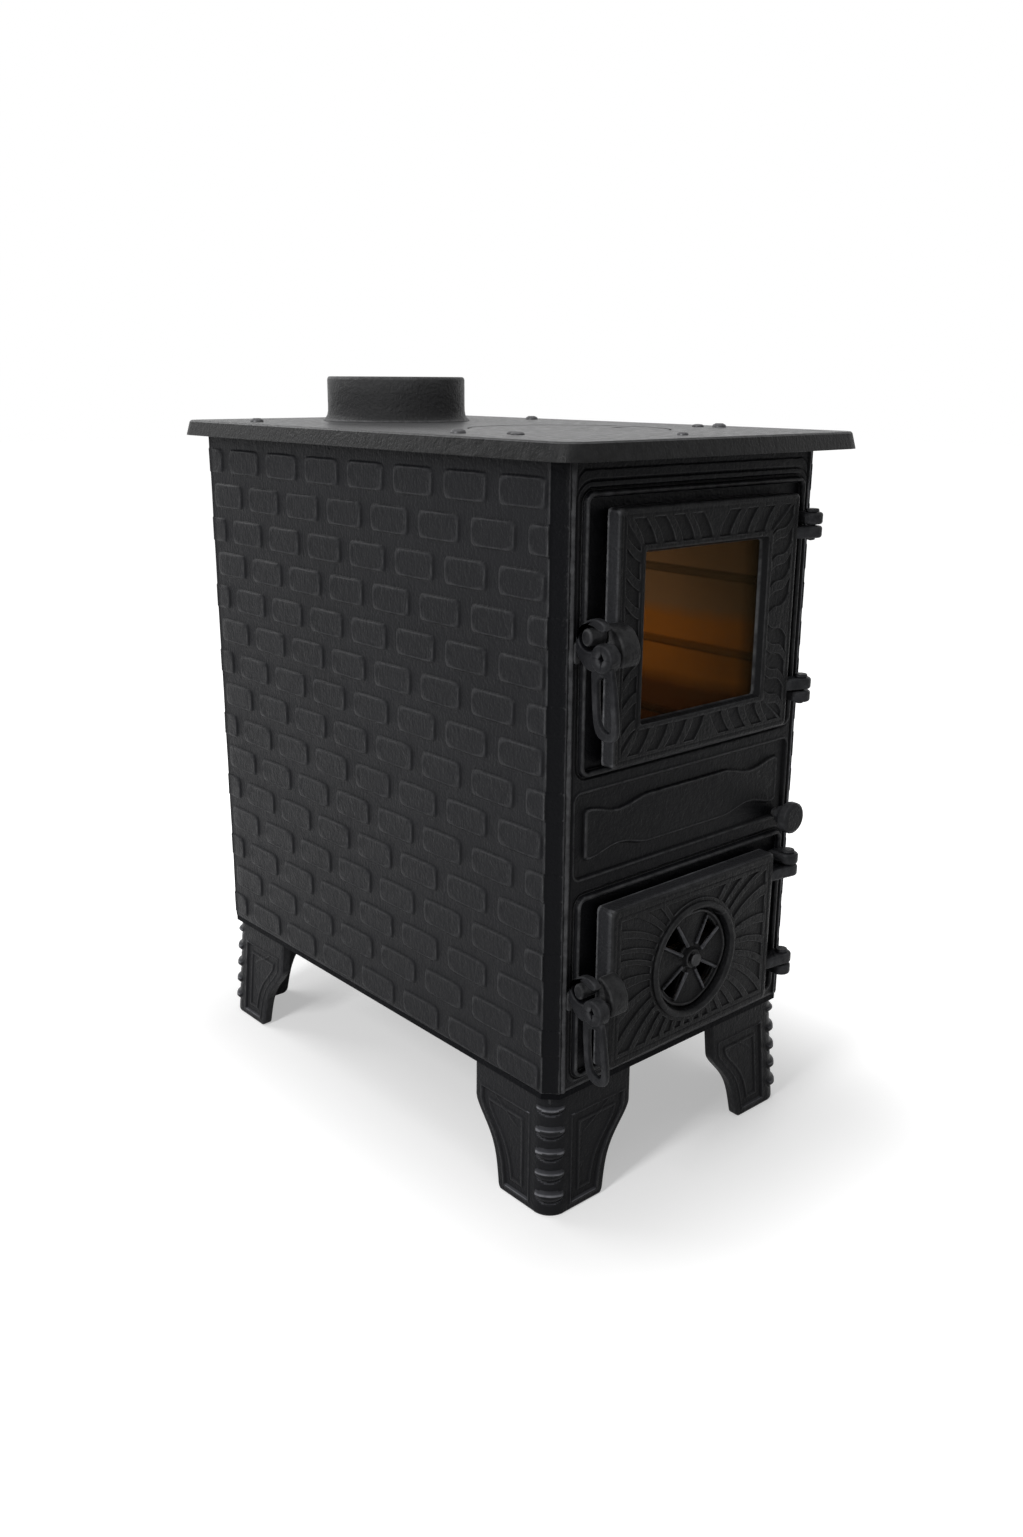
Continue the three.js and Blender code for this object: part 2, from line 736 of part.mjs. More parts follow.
// ---------------------------------------------------------------- back plate
function backPlate() {
  const y0 = rearY - wall;
  const r = (m, k) => rounded(-frontHalf + m, frontHalf - m, panelZ0 + m, panelZ1 - m, k, 2);
  let made = alongY(shapeOf(rect(-frontHalf, frontHalf, panelZ0, panelZ1)), y0, rearY);
  made = join(made, alongY(shapeOf(r(16, 10), [r(24, 5)]), rearY - 1, rearY + 2.5));
  return made;
}
add(body, "back_plate", backPlate(), looks.side);

// ----------------------------------------------------------------- hob plate
function hobOutline(inset, k = 4) {
  const r = hobCorner - inset;
  return rounded(
    -halfW - hobSideOverhang + inset, halfW + hobSideOverhang - inset,
    frontY - hobFrontOverhang + inset, rearY + hobRearOverhang - inset, Math.max(r, 2), k,
  );
}

function hobPlate() {
  let made = loft([
    atZ(hobOutline(0), skirtZ), atZ(hobOutline(skirtFlare), hobZ1 - 1.6),
    atZ(hobOutline(skirtFlare + 1.6), hobZ1),
  ]);
  made = cut(made, loft([
    atZ(hobOutline(skirtWall - 0.4), skirtZ - 1), atZ(hobOutline(skirtWall + skirtFlare), hobZ0),
  ]));
  const hub = [0, collarSetBack];
  made = cut(made, rod("z", hub, collarRadius - collarWall + 1, hobZ0 - 1, hobZ1 + 1, 40));
  made = cut(made, rod("z", [0, lidY], lidRadius - lidLedge, hobZ0 - 1, hobZ1 + 1, 40));
  made = cut(made, rod("z", [0, lidY], lidRadius + lidClearance, hobZ1 - hobThickness / 2, hobZ1 + 1, 40));
  for (const s of screws) made = cut(made, rod("z", s, screwShank + seat, hobZ0 - 1, hobZ1 + 1, 10));
  return made;
}
add(body, "hob_plate", hobPlate(), looks.hob);

const collarZ = hobZ1 + seat;
function flueCollar() {
  const r = collarRadius;
  const inner = r - collarWall;
  const z1 = collarZ + collarHeight;
  return turned([
    [inner - 3, hobZ1 - collarSpigot], [inner, hobZ1 - collarSpigot], [inner, collarZ],
    [r + collarFoot, collarZ], [r, collarZ + 5],
    [r, z1 - 2.4], [r - 2, z1], [inner - 3, z1], [inner - 3, hobZ1 - collarSpigot],
  ], 40).translate([0, collarSetBack, 0]);
}
add(body, "flue_collar", flueCollar(), looks.hob);

screws.forEach(([x, y], i) => {
  const z = hobZ1 + seat;
  const made = turned([
    [0, panelZ1 - 10], [screwShank, panelZ1 - 10], [screwShank, z], [screwHead, z],
    [screwHead, z + 1.4], [screwHead * 0.6, z + 3.4], [0, z + 3.4],
  ], 8);
  add(body, "hob_screw_" + (i + 1), made.translate([x, y, 0]), looks.steel);
});

// Loose lid: a disc on the ledge, a spigot under it and a notch for the lifter.
const lid = group(body, new THREE.Vector3(0, lidY, hobZ1));
function hobLid() {
  const z0 = hobZ1 - hobThickness / 2 + seat;
  const z1 = hobZ1 - 0.2;
  const drop = z1 - lidThickness;
  const inner = lidRadius - lidLedge - lidClearance;
  let made = turned([
    [0, drop], [inner, drop], [inner, z0], [lidRadius - 0.6, z0], [lidRadius - 0.6, z1 - 0.8],
    [lidRadius - 1.4, z1], [0, z1],
  ], 40).translate([0, lidY, 0]);
  const x = lidRadius * 0.62;
  made = cut(made, box(x, x + 16, lidY - 5, lidY + 5, z1 - 2.4, z1 + 1));
  return made;
}
add(lid, "hob_lid", hobLid(), looks.hob);

// ------------------------------------------------------------------ fire box
function grateFrame() {
  const x = innerX - seat;
  const y = rearY - wall - seat;
  const w = shakerWidth / 2 - 12;
  const d = shakerDepth / 2 - 12;
  const outer = rect(-x, x, -y, y);
  const slots = [];
  // Slots fore and aft of the moving grate, two on each side of it.
  for (const cy of [-(d + slotSetOff), d + slotSetOff])
    for (const cx of [-0.62 * w, 0, 0.62 * w])
      slots.push(rounded(cx - 0.25 * w, cx + 0.25 * w, cy - barSlot, cy + barSlot, 5, 1));
  slots.push(rounded(-w, w, -d, d, 6, 1));
  return alongZ(shapeOf(outer, slots), grateZ, grateZ + grateThickness);
}
// The frame's outer corners follow the chamfers of the side castings.
function trimmedGrate() {
  const x = innerX - seat;
  const y = rearY - wall - seat;
  const c = edgeChamfer + wall;
  const plan = [
    V2(x - c, -y), V2(x, -y + c), V2(x, y - c), V2(x - c, y),
    V2(-x + c, y), V2(-x, y - c), V2(-x, -y + c), V2(-x + c, -y),
  ];
  return grateFrame().intersect(alongZ(shapeOf(plan), grateZ - 1, grateZ + grateThickness + 1));
}
add(body, "grate_frame", trimmedGrate(), looks.inner);

const shaker = group(body, new THREE.Vector3(rodSide, frontY, rodZ));
function shakerGrate() {
  const w = shakerWidth / 2;
  const d = shakerDepth / 2;
  const count = Math.floor((shakerDepth - barPitch) / barPitch);
  const slots = [];
  for (let i = 0; i < count; i++) {
    const y = -((count - 1) * barPitch) / 2 + i * barPitch;
    for (const s of [-1, 1]) {
      const x = (s * w) / 2;
      const half = [y - barSlot / 2, y + barSlot / 2];
      slots.push(rounded(x - w * 0.36, x + w * 0.36, ...half, barSlot * 0.45, 1));
    }
  }
  let made = alongZ(shapeOf(rect(-w, w, -d, d), slots), shakerZ, shakerZ + shakerThickness);
  // Ear that takes the pull rod.
  const ear = [
    V2(w - 1, -d), V2(rodSide + 6, -d), V2(rodSide + 8, -d + 5), V2(rodSide + 8, -d + 22),
    V2(w - 1, -d + 40),
  ];
  made = join(made, alongZ(shapeOf(ear), shakerZ, shakerZ + shakerThickness + 3));
  made = cut(made, rod("y", [rodSide, rodZ], rodRadius - 1.2, -d - 1, -d + 18, 12));
  return made;
}
add(shaker, "shaker_grate", shakerGrate(), looks.inner);

function shakerRod() {
  const d = shakerDepth / 2;
  const knobY = frontY - knobGap;
  return join(
    rod("y", [rodSide, rodZ], rodRadius, knobY + seat, -d - seat, 16),
    rod("y", [rodSide, rodZ], rodRadius - 1.6, -d - 1, -d + 16, 12),
    rod("y", [rodSide, rodZ], rodRadius - 2, knobY - 8, knobY + 1, 12),
  );
}
add(shaker, "shaker_rod", shakerRod(), looks.steel);

function shakerKnob() {
  const r = knobRadius;
  const n = knobNeck;
  let made = turned([
    [0, -knobGap + 5], [n, -knobGap + 5], [n * 0.86, -1], [r - 1.5, 0], [r, 2],
    [r, knobLength - 2.2], [r - 3, knobLength], [0, knobLength],
  ], 20);
  made = facing.y(made).translate([rodSide, frontY - knobGap, rodZ]);
  made = cut(made, rod("y", [rodSide, rodZ], rodRadius + seat, frontY - knobGap, frontY + 4, 16));
  return cut(made, rod("y", [rodSide, rodZ], rodRadius - 1.7, frontY - knobGap - 8.3, frontY, 12));
}
add(shaker, "shaker_knob", shakerKnob(), looks.front);

function sideLiner(side) {
  const x1 = linerX;
  const x0 = x1 - linerThickness;
  const flat = [V2(x1, linerFoot), V2(x1, linerTop), V2(x0, linerTop)];
  for (let i = linerRibs; i >= 1; i--) {
    const z = linerFoot + (linerHeight * i) / (linerRibs + 1);
    flat.push(V2(x0, z + 5), V2(x0 - linerRib, z + 3), V2(x0 - linerRib, z - 2), V2(x0, z - 4));
  }
  flat.push(V2(x0, linerFoot));
  return alongY(shapeOf(flat.map((p) => V2(side * p.x, p.y))), frontY + wall + linerSetBack, linerY);
}
add(body, "left_liner", sideLiner(-1), looks.inner);
add(body, "right_liner", sideLiner(1), looks.inner);
add(body, "back_liner",
  box(-backLinerX, backLinerX, linerY + seat, rearY - wall - seat, linerFoot, linerTop), looks.inner);

function baffle() {
  const y1 = linerY;
  const y0 = y1 - baffleDepth;
  const z = linerTop + seat;
  const up = baffleLift;
  const t = baffleThickness;
  const side = [
    V2(y0, z + up + 4), V2(y0 + 3, z + up), V2(y0 + baffleRun, z), V2(y1, z), V2(y1, z + t),
    V2(y0 + baffleRun + 2, z + t), V2(y0 + 6, z + up + t),
  ];
  return alongX(shapeOf(side), -linerX, linerX);
}
add(body, "smoke_baffle", baffle(), looks.inner);

function ashPan() {
  const w = panWidth / 2;
  const y0 = frontY + panSetBack;
  const y1 = y0 + panDepth;
  const z0 = baseZ1 + railHeight + seat;
  const z1 = z0 + panHeight;
  const ring = (m, z) => atZ(rect(-w + m, w - m, y0 + m, y1 - m), z);
  let made = loft([ring(8, z0), ring(0, z1)]);
  made = cut(made, loft([ring(8 + panWall, z0 + panWall), ring(panWall, z1 + 0.05)]));
  // Folded rim, with a pull tab turned down at the front.
  const k = panRim;
  const mouth = rect(-w + panWall, w - panWall, y0 + panWall, y1 - panWall).reverse();
  const lip = alongZ(shapeOf(rect(-w - k, w + k, y0 - k, y1 + k), [mouth]), z1 - panWall, z1);
  const tab = rounded(-w * 0.4, w * 0.4, z1 - panTab, z1 - 0.5, 9, 2);
  return join(made, lip, alongY(shapeOf(tab), y0 - k, y0 - k + panWall));
}
add(body, "ash_pan", ashPan(), looks.pan);

// --------------------------------------------------------------------- doors
// Hollow cast leaf: a face, a rim turned back all round and a bevelled edge.
function leaf(right, z0, z1, face) {
  const x0 = -doorLeft;
  const bevel = 1.8;
  const ring = (m, y) => atY(rounded(x0 + m, right - m, z0 + m, z1 - m, 4, 2), y);
  // Rings run from the back to the front face, seen from the front.
  let made = loft([ring(0, doorBack), ring(0, face + bevel), ring(bevel, face)]);
  const pocket = rounded(x0 + doorWall, right - doorWall, z0 + doorWall, z1 - doorWall, 3, 2);
  made = cut(made, alongY(shapeOf(pocket), face + doorWall, doorBack + 1));
  return made;
}

// Lug for the latch pin: a round-nosed block at the door's free edge.
function latchLug(face, z) {
  const nose = latchY - lugRise;
  const back = face + 1;
  const up = z + lugUp;
  const outline = [
    V2(back, z - lugDown - 1), V2(nose + 4, z - lugDown), V2(nose + 1.2, z - lugDown + 3),
    V2(nose, z - 1), V2(nose + 0.3, z + 5), V2(nose + 2.2, z + 11), V2(nose + 5.5, z + 16.5),
    V2(nose + 10.5, z + 21.5), V2(back - 1, up), V2(back, up),
  ];
  const made = alongX(shapeOf(outline), lugX, lugX + lugWidth);
  return cut(made, rod("x", [latchY, z], latchPinRadius + 0.3, lugX - 1, lugX + lugWidth - 4, 12));
}

function gasket(right, z0, z1) {
  const m = 1.5;
  const outer = rounded(-doorLeft + m, right - m, z0 + m, z1 - m, 4, 2);
  const k = m + gasketWidth;
  const inner = rounded(-doorLeft + k, right - k, z0 + k, z1 - k, 2, 2);
  return alongY(shapeOf(outer, [inner]), doorBack + seat, doorBack + seat + gasketThickness);
}

function hingePin(p) {
  const r = pinRadius;
  const z = p.top + seat;
  return turned([
    [0, p.foot - 3], [r, p.foot - 2], [r, z], [pinHead, z],
    [pinHead - 0.6, z + pinHeadHeight], [0, z + pinHeadHeight],
  ], 12).translate([hingeX, hingeY, 0]);
}
for (const [name, p] of Object.entries(pairs)) add(body, "hinge_pin_" + name, hingePin(p), looks.steel);

// Latch lever in side view, (y, z) about its pivot: boss, hook and slotted grip.
function leverOutline() {
  const k = gripLength / 70;
  const f = gripLean;
  const hook = arc(0, 0, hookReach, -4, 97, 12);
  const inner = arc(0, 0, hookReach - hookWall, 96, 34, 7);
  const bossTop = arc(0, 0, bossRadius, 58, 158, 7);
  const throat = [V2(19.6, 6.6), V2(14.4, 5.4), V2(10.6, 7.2)];
  const grip = [
    V2(-13.4, -9), V2(-14.4, -15), V2(-0.8 * f, -30 * k), V2(-0.94 * f, -48 * k), V2(-f, -60 * k),
    V2(-0.92 * f, -65 * k), V2(-16, -68.4 * k), V2(-8, -70 * k), V2(-1.5, -69.6 * k), V2(4, -65.6 * k),
    V2(7.6, -58 * k), V2(9.6, -40 * k), V2(11.4, -22 * k), V2(13.4, -14.4), V2(22, -9.6),
  ];
  // Counter-clockwise: hook out, tip, inside of the hook, boss, grip.
  return [...hook, ...inner, ...throat, ...bossTop, ...grip];
}

function leverSlot() {
  const k = gripLength / 70;
  return [
    V2(-4, -17), V2(1.5, -19), V2(3.4, -26), V2(2.6, -44 * k), V2(0.6, -56.4 * k), V2(-3.6, -60 * k),
    V2(-10, -60.6 * k), V2(-13.6, -57.4 * k), V2(-13.2, -46 * k), V2(-9.6, -24), V2(-7.8, -18.6),
  ];
}

function lever(z) {
  const x1 = latchX + leverThickness;
  let made = alongX(shapeOf(leverOutline(), [leverSlot()]), latchX, x1);
  made = join(made, rod("x", [0, 0], bossRadius, latchX + 0.5, latchX + bossLength, 20));
  made = cut(made, rod("x", [0, 0], latchPinRadius + 0.3, latchX - 1, latchX + bossLength + 1, 12));
  return made.translate([0, latchY, z]);
}

// Shouldered pin: head outside the lever, shoulder between lever and lug.
function latchPin(z) {
  const r = latchPinRadius;
  const inBoss = latchX + bossLength + seat;
  const made = turned([
    [0, latchX - 2.6], [r + 1.6, latchX - 2], [r + 1.6, latchX - seat], [r, latchX - seat],
    [r, inBoss], [shoulderRadius, inBoss], [shoulderRadius, lugX - seat], [r, lugX - seat],
    [r, lugX + lugWidth - 6], [0, lugX + lugWidth - 6],
  ], 12);
  return facing.x(made).translate([0, latchY, z]);
}

function addLatch(parent, name, z) {
  add(parent, name + "_latch_pin", latchPin(z), looks.steel);
  const arm = group(parent, new THREE.Vector3(latchX, latchY, z));
  add(arm, name + "_latch_lever", lever(z), looks.front);
}

// Fire door with its window.
const upper = group(body, new THREE.Vector3(hingeX, hingeY, upperZ0));
const pane = {
  x0: -windowLeft, x1: windowRight, z0: upperZ0 + windowBottom, z1: upperZ1 - windowTop,
};
function fireDoor() {
  let made = leaf(upperDoorRight, upperZ0, upperZ1, upperFace);
  const hole = rounded(pane.x0, pane.x1, pane.z0, pane.z1, 4, 2);
  made = cut(made, alongY(shapeOf(hole), upperFace - 1, doorBack + 1));
  made = join(made, latchLug(upperFace, upperLatchZ));
  for (const p of [pairs.upper_top, pairs.upper_foot]) {
    made = join(made, doorKnuckle(upperDoorRight, upperFace, ...p.door));
    made = cut(made, bore(...p.door));
  }
  return made;
}
add(upper, "fire_door", fireDoor(), looks.front);

const glassFront = upperFace + doorWall + seat;
const lap = (m) => rounded(pane.x0 - m, pane.x1 + m, pane.z0 - m, pane.z1 + m, 3, 2);
const glass = alongY(shapeOf(lap(glassLap)), glassFront, glassFront + glassThickness);
add(upper, "door_glass", glass, glassLook);

// Strips that hold the glass, screwed through ears above and below it.
function glassStrip(z0) {
  const y0 = glassFront + glassThickness + seat;
  const x = [-doorLeft + doorWall + 1, upperDoorRight - doorWall - 1];
  return box(...x, y0, y0 + stripThickness, z0, z0 + stripWidth);
}
add(upper, "glass_strip_top", glassStrip(pane.z1 + 1.5), looks.steel);
add(upper, "glass_strip_bottom", glassStrip(pane.z0 - 1.5 - stripWidth), looks.steel);
add(upper, "fire_door_gasket", gasket(upperDoorRight, upperZ0, upperZ1), ropeLook);
addLatch(upper, "upper", upperLatchZ);

// Ash door with its spinner damper.
const lower = group(body, new THREE.Vector3(hingeX, hingeY, lowerZ0));
const wedge = (a, r0, r1, half) => [
  ...arc(spinnerX, spinnerZ, r1, a - half, a + half, 4),
  ...arc(spinnerX, spinnerZ, r0, a + half, a - half, 1),
];
const ports = [45, 135, 225, 315];
const webY = lowerFace + discSetBack + discThickness + 1.2; // front of the fixed seat

function ashDoor() {
  let made = leaf(lowerDoorRight, lowerZ0, lowerZ1, lowerFace);
  const at = [spinnerX, spinnerZ];
  // Collar behind the face that the seat is fixed to, and the proud ring in front.
  made = join(made, rod("y", at, throatRadius + throatWall, lowerFace + 1, webY - seat, 32));
  const ring = circle(...at, throatRadius + ringWidth, 32);
  made = join(made, loft([
    atY(ring, lowerFace + 1), atY(ring, lowerFace - ringRise * 0.5),
    atY(circle(...at, throatRadius + ringWidth - 2, 32), lowerFace - ringRise),
  ]));
  made = cut(made, rod("y", at, throatRadius, lowerFace - 10, webY + 1, 32));
  made = join(made, latchLug(lowerFace, lowerLatchZ));
  for (const p of [pairs.lower_top, pairs.lower_foot]) {
    made = join(made, doorKnuckle(lowerDoorRight, lowerFace, ...p.door));
    made = cut(made, bore(...p.door));
  }
  return made;
}
add(lower, "ash_door", ashDoor(), looks.front);
add(lower, "ash_door_gasket", gasket(lowerDoorRight, lowerZ0, lowerZ1), ropeLook);

// Fixed seat behind the spinner, with the same four ports.
function damperSeat() {
  const holes = ports.map((a) => wedge(a, portInner, portOuter, portAngle / 2));
  holes.push(circle(spinnerX, spinnerZ, boltRadius + seat, 10));
  const rim = circle(spinnerX, spinnerZ, throatRadius + throatWall, 32);
  return alongY(shapeOf(rim, holes), webY, webY + seatThickness);
}
add(lower, "damper_seat", damperSeat(), looks.front);

// Spinner: creased petals between four wedge ports, raised port edges, a hub.
const spin = group(lower, new THREE.Vector3(spinnerX, lowerFace, spinnerZ));
function spinnerDisc() {
  const r = throatRadius - discClearance;
  const back = lowerFace + discSetBack + discThickness;
  const front = lowerFace + discSetBack;
  const n = 32;
  const rim = [];
  const top = [];
  for (let i = 0; i < n; i++) {
    const a = (i / n) * 360;
    // Petals stand forward along their middle lines, at 0, 90, 180 and 270.
    const off = Math.abs(((a + 45) % 90) - 45);
    const crease = petalCrease * Math.max(0, 1 - off / 25);
    const [p] = arc(spinnerX, spinnerZ, r, a, a, 1);
    rim.push(new THREE.Vector3(p.x, back, p.y));
    top.push(new THREE.Vector3(p.x, front - crease, p.y));
  }
  const hub = new THREE.Vector3(spinnerX, front - petalCrease * 2, spinnerZ);
  const pts = [];
  const tri = (a, b, c) => pts.push(...a.toArray(), ...b.toArray(), ...c.toArray());
  const mid = new THREE.Vector3(spinnerX, back, spinnerZ);
  for (let i = 0; i < n; i++) {
    const j = (i + 1) % n;
    tri(rim[j], rim[i], mid);
    tri(rim[i], rim[j], top[j]);
    tri(rim[i], top[j], top[i]);
    tri(top[i], top[j], hub);
  }
  const g = new THREE.BufferGeometry();
  g.setAttribute("position", new THREE.Float32BufferAttribute(pts, 3));
  let made = solid(g);
  for (const a of ports) {
    const rib = wedge(a, portInner - 2.6, portOuter + 2.6, portAngle / 2 + 3.4);
    made = join(made, alongY(shapeOf(rib), front - portRib - petalCrease, back - 0.5));
  }
  for (const a of ports)
    made = cut(made, alongY(shapeOf(wedge(a, portInner, portOuter, portAngle / 2)), front - 20, back + 5));
  made = join(made, rod("y", [spinnerX, spinnerZ], hubRadius, front - petalCrease * 2 - hubRise, back, 16));
  return cut(made, rod("y", [spinnerX, spinnerZ], boltRadius + seat, front - 30, back + 5, 10));
}
add(spin, "spinner_disc", spinnerDisc(), looks.front);

// Bolt through the hub and the web, with a nut behind the web.
function spinnerBolt() {
  const hubFace = lowerFace + discSetBack - petalCrease * 2 - hubRise;
  const r = boltRadius;
  const made = turned([
    [0, -8], [r, -8], [r, seat], [r + 2.4, seat], [r + 2.4, 2.4], [0, 3.6],
  ], 10);
  const long = webY + seatThickness + nutHeight - hubFace;
  const shank = rod("y", [0, 0], r, 0, long + 1.5, 10);
  return join(facing.y(made), shank).translate([spinnerX, hubFace, spinnerZ]);
}
add(lower, "spinner_bolt", spinnerBolt(), looks.steel);
const nutHole = circle(spinnerX, spinnerZ, boltRadius + seat, 10);
const nut = shapeOf(circle(spinnerX, spinnerZ, nutRadius, 6), [nutHole]);
const nutY = webY + seatThickness;
add(lower, "spinner_nut", alongY(nut, nutY + seat, nutY + nutHeight), looks.steel);
addLatch(lower, "lower", lowerLatchZ);

export default stove;
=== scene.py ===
"""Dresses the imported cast-iron wood stove: sand-cast skins with their relief, amber
window glass, ironwork materials, soft studio light and the photograph's camera."""

import json
import math

import bmesh
import bpy
import numpy as np
from bpy.props import FloatProperty, FloatVectorProperty, PointerProperty
from mathutils import Matrix

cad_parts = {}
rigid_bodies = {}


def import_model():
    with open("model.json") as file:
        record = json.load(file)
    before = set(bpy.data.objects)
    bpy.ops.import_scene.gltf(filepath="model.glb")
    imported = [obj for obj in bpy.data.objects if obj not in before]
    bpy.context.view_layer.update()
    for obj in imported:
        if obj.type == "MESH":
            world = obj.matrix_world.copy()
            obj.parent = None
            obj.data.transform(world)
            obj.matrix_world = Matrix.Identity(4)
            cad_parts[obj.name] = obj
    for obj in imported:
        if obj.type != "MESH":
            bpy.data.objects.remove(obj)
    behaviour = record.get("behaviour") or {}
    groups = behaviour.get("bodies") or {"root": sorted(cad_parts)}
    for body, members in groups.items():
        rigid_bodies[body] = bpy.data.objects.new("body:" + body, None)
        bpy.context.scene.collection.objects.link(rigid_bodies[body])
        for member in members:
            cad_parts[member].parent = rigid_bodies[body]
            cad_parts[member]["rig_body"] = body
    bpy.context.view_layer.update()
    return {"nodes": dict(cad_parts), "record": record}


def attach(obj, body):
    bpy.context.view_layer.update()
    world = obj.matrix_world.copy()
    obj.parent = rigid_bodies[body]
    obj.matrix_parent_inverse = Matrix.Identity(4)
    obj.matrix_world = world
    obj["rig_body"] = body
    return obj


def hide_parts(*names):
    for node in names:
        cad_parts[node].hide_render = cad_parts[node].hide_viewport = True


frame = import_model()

bl_info = {
    "name": "Cast-iron wood stove",
    "version": (1, 0, 0),
    "blender": (4, 5, 0),
    "location": "View3D > Sidebar > Stove",
    "description": "Builds the cast skins, glass and stage of a brick-relief wood stove",
    "category": "Object",
}

SLOTS = {s["node"]: s["material_slot"] for s in frame["record"]["subparts"]}

# Places in the row frame, in millimetres. A box is left, right, foot and top.
SHIFT = 20.8  # the body's middle behind the row origin
HALF = 169.5  # half the width over the side castings
DEPTH = 285  # half the body's depth
CHAMFER = 12.3
RIDGE = DEPTH - CHAMFER  # where a side's flat ends and its chamfered corner begins
FRONT, REAR = -DEPTH + SHIFT, DEPTH + SHIFT
PANEL = (127.3, 701.3)  # foot and top of the side and front castings
HOB_TOP = 708.0
UPPER = (-118.8, 120.0, 433.0, 653.6)  # fire door
LOWER = (-118.8, 113.0, 144.4, 303.0)  # ash door
WINDOW = (-87.0, 76.2, 468.0, 617.4)  # where the fire door's face ends
PANE = (-84.5, 70.2, 470.6, 615.0)  # what shows of the glass
DOOR_BACK, UPPER_FACE, LOWER_FACE = -288.6 + SHIFT, -303.0 + SHIFT, -307.0 + SHIFT
BEADS = ((-143.8, 145, 426.5, 667.1), (-143.8, 145, 137.9, 316.5))  # round each opening
HOLES = ((-104.8, 106, 447, 639.6), (-104.8, 99, 158.4, 289))  # the openings
HINGE = (140.6, -302.0 + SHIFT)
LATCH_Y = -318.0 + SHIFT
LATCH_Z = {"upper": 536.5, "lower": 219.4}
SPIN = (-3.8, 223.3)  # the spinner's middle
THROAT = 51.0  # radius of the ash door's opening behind the spinner
PORT = (15.5, 43.0, 13.5)  # spinner ports: inner and outer radius, half angle
COURSE = 37.5  # pitch of the brick courses
FIRST_COURSE = PANEL[1] - 22  # top of the highest one
BRICK_PITCH = 73.6
FIRST_BRICK = -DEPTH + 44.2
BRICK = (58.6, 27.2)  # length and height
SCREWS = [(-155, 195 + SHIFT), (-155, -140 + SHIFT), (155, 107 + SHIFT), (155, -172 + SHIFT)]

FINISH = {}


class StoveSizes(bpy.types.PropertyGroup):
    """Relief of the castings"""

    brick_rise: FloatProperty(
        name="Brick rise", description="How far the bricks stand out of the sides",
        default=0.0018, unit="LENGTH")
    brick_shoulder: FloatProperty(
        name="Brick shoulder", description="Width of the rounded edge of a brick",
        default=0.0020, unit="LENGTH")
    bead_rise: FloatProperty(
        name="Bead rise", description="Height of the round bead about each door",
        default=0.0042, unit="LENGTH")
    carving: FloatProperty(
        name="Carving depth", description="Depth of the cells cut into the doors",
        default=0.0015, unit="LENGTH")
    uneven: FloatProperty(
        name="Casting waviness", description="How far a cast face wanders from flat",
        default=0.00022, unit="LENGTH")


class StoveColours(bpy.types.PropertyGroup):
    """Finishes of the ironwork"""

    side: FloatVectorProperty(
        name="Side castings", description="Charcoal stove paint of the sides and legs",
        default=(0.0125, 0.0127, 0.0142), subtype="COLOR")
    front: FloatVectorProperty(
        name="Doors", description="Charcoal stove paint of the doors, latches and hinges",
        default=(0.0092, 0.0094, 0.0102), subtype="COLOR")
    # A third of the sides' paint: painted shade on the front casting and the corner strips, which
    # face away from the light.
    plate: FloatVectorProperty(
        name="Front casting", description="Darker paint of the front casting and corner strips",
        default=(0.0042, 0.0044, 0.0054), subtype="COLOR")
    # Lighter than the other paints: with rim at 0.12 in the hob's finish, a painted sheen on the
    # hob's top and painted shade on its rim.
    hob: FloatVectorProperty(
        name="Hob", description="Paint of the hob plate and the flue collar",
        default=(0.0420, 0.0422, 0.0435), subtype="COLOR")
    # Amber of the fire box's iron in a band at mid height; liner_finish makes it darker at the foot
    # and greyer above.
    inner: FloatVectorProperty(
        name="Fire box", description="Heat-tinted iron inside the fire box",
        default=(0.40, 0.190, 0.038), subtype="COLOR")
    glass: FloatVectorProperty(
        name="Window", description="Amber tint of the window glass",
        default=(0.052, 0.038, 0.019), subtype="COLOR")
    iron_roughness: FloatProperty(
        name="Iron roughness", description="Roughness of the painted castings",
        default=0.34, min=0.0, max=1.0, subtype="FACTOR")


# ------------------------------------------------------------------ surface tools
def new_piece(mesh, body, slot_name, finish=None):
    """Links a mesh as a piece that rides on a body and takes a finish, as a rule the
    one of its slot."""
    piece = bpy.data.objects.new(mesh.name, mesh)
    bpy.context.scene.collection.objects.link(piece)
    mesh.materials.clear()
    mesh.materials.append(FINISH[finish or slot_name])
    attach(piece, body)
    return piece


def soften(mesh, angle=38):
    """Smooth shading, broken where faces meet at more than angle degrees."""
    mesh.polygons.foreach_set("use_smooth", np.ones(len(mesh.polygons), bool))
    mesh.set_sharp_from_angle(angle=math.radians(angle))


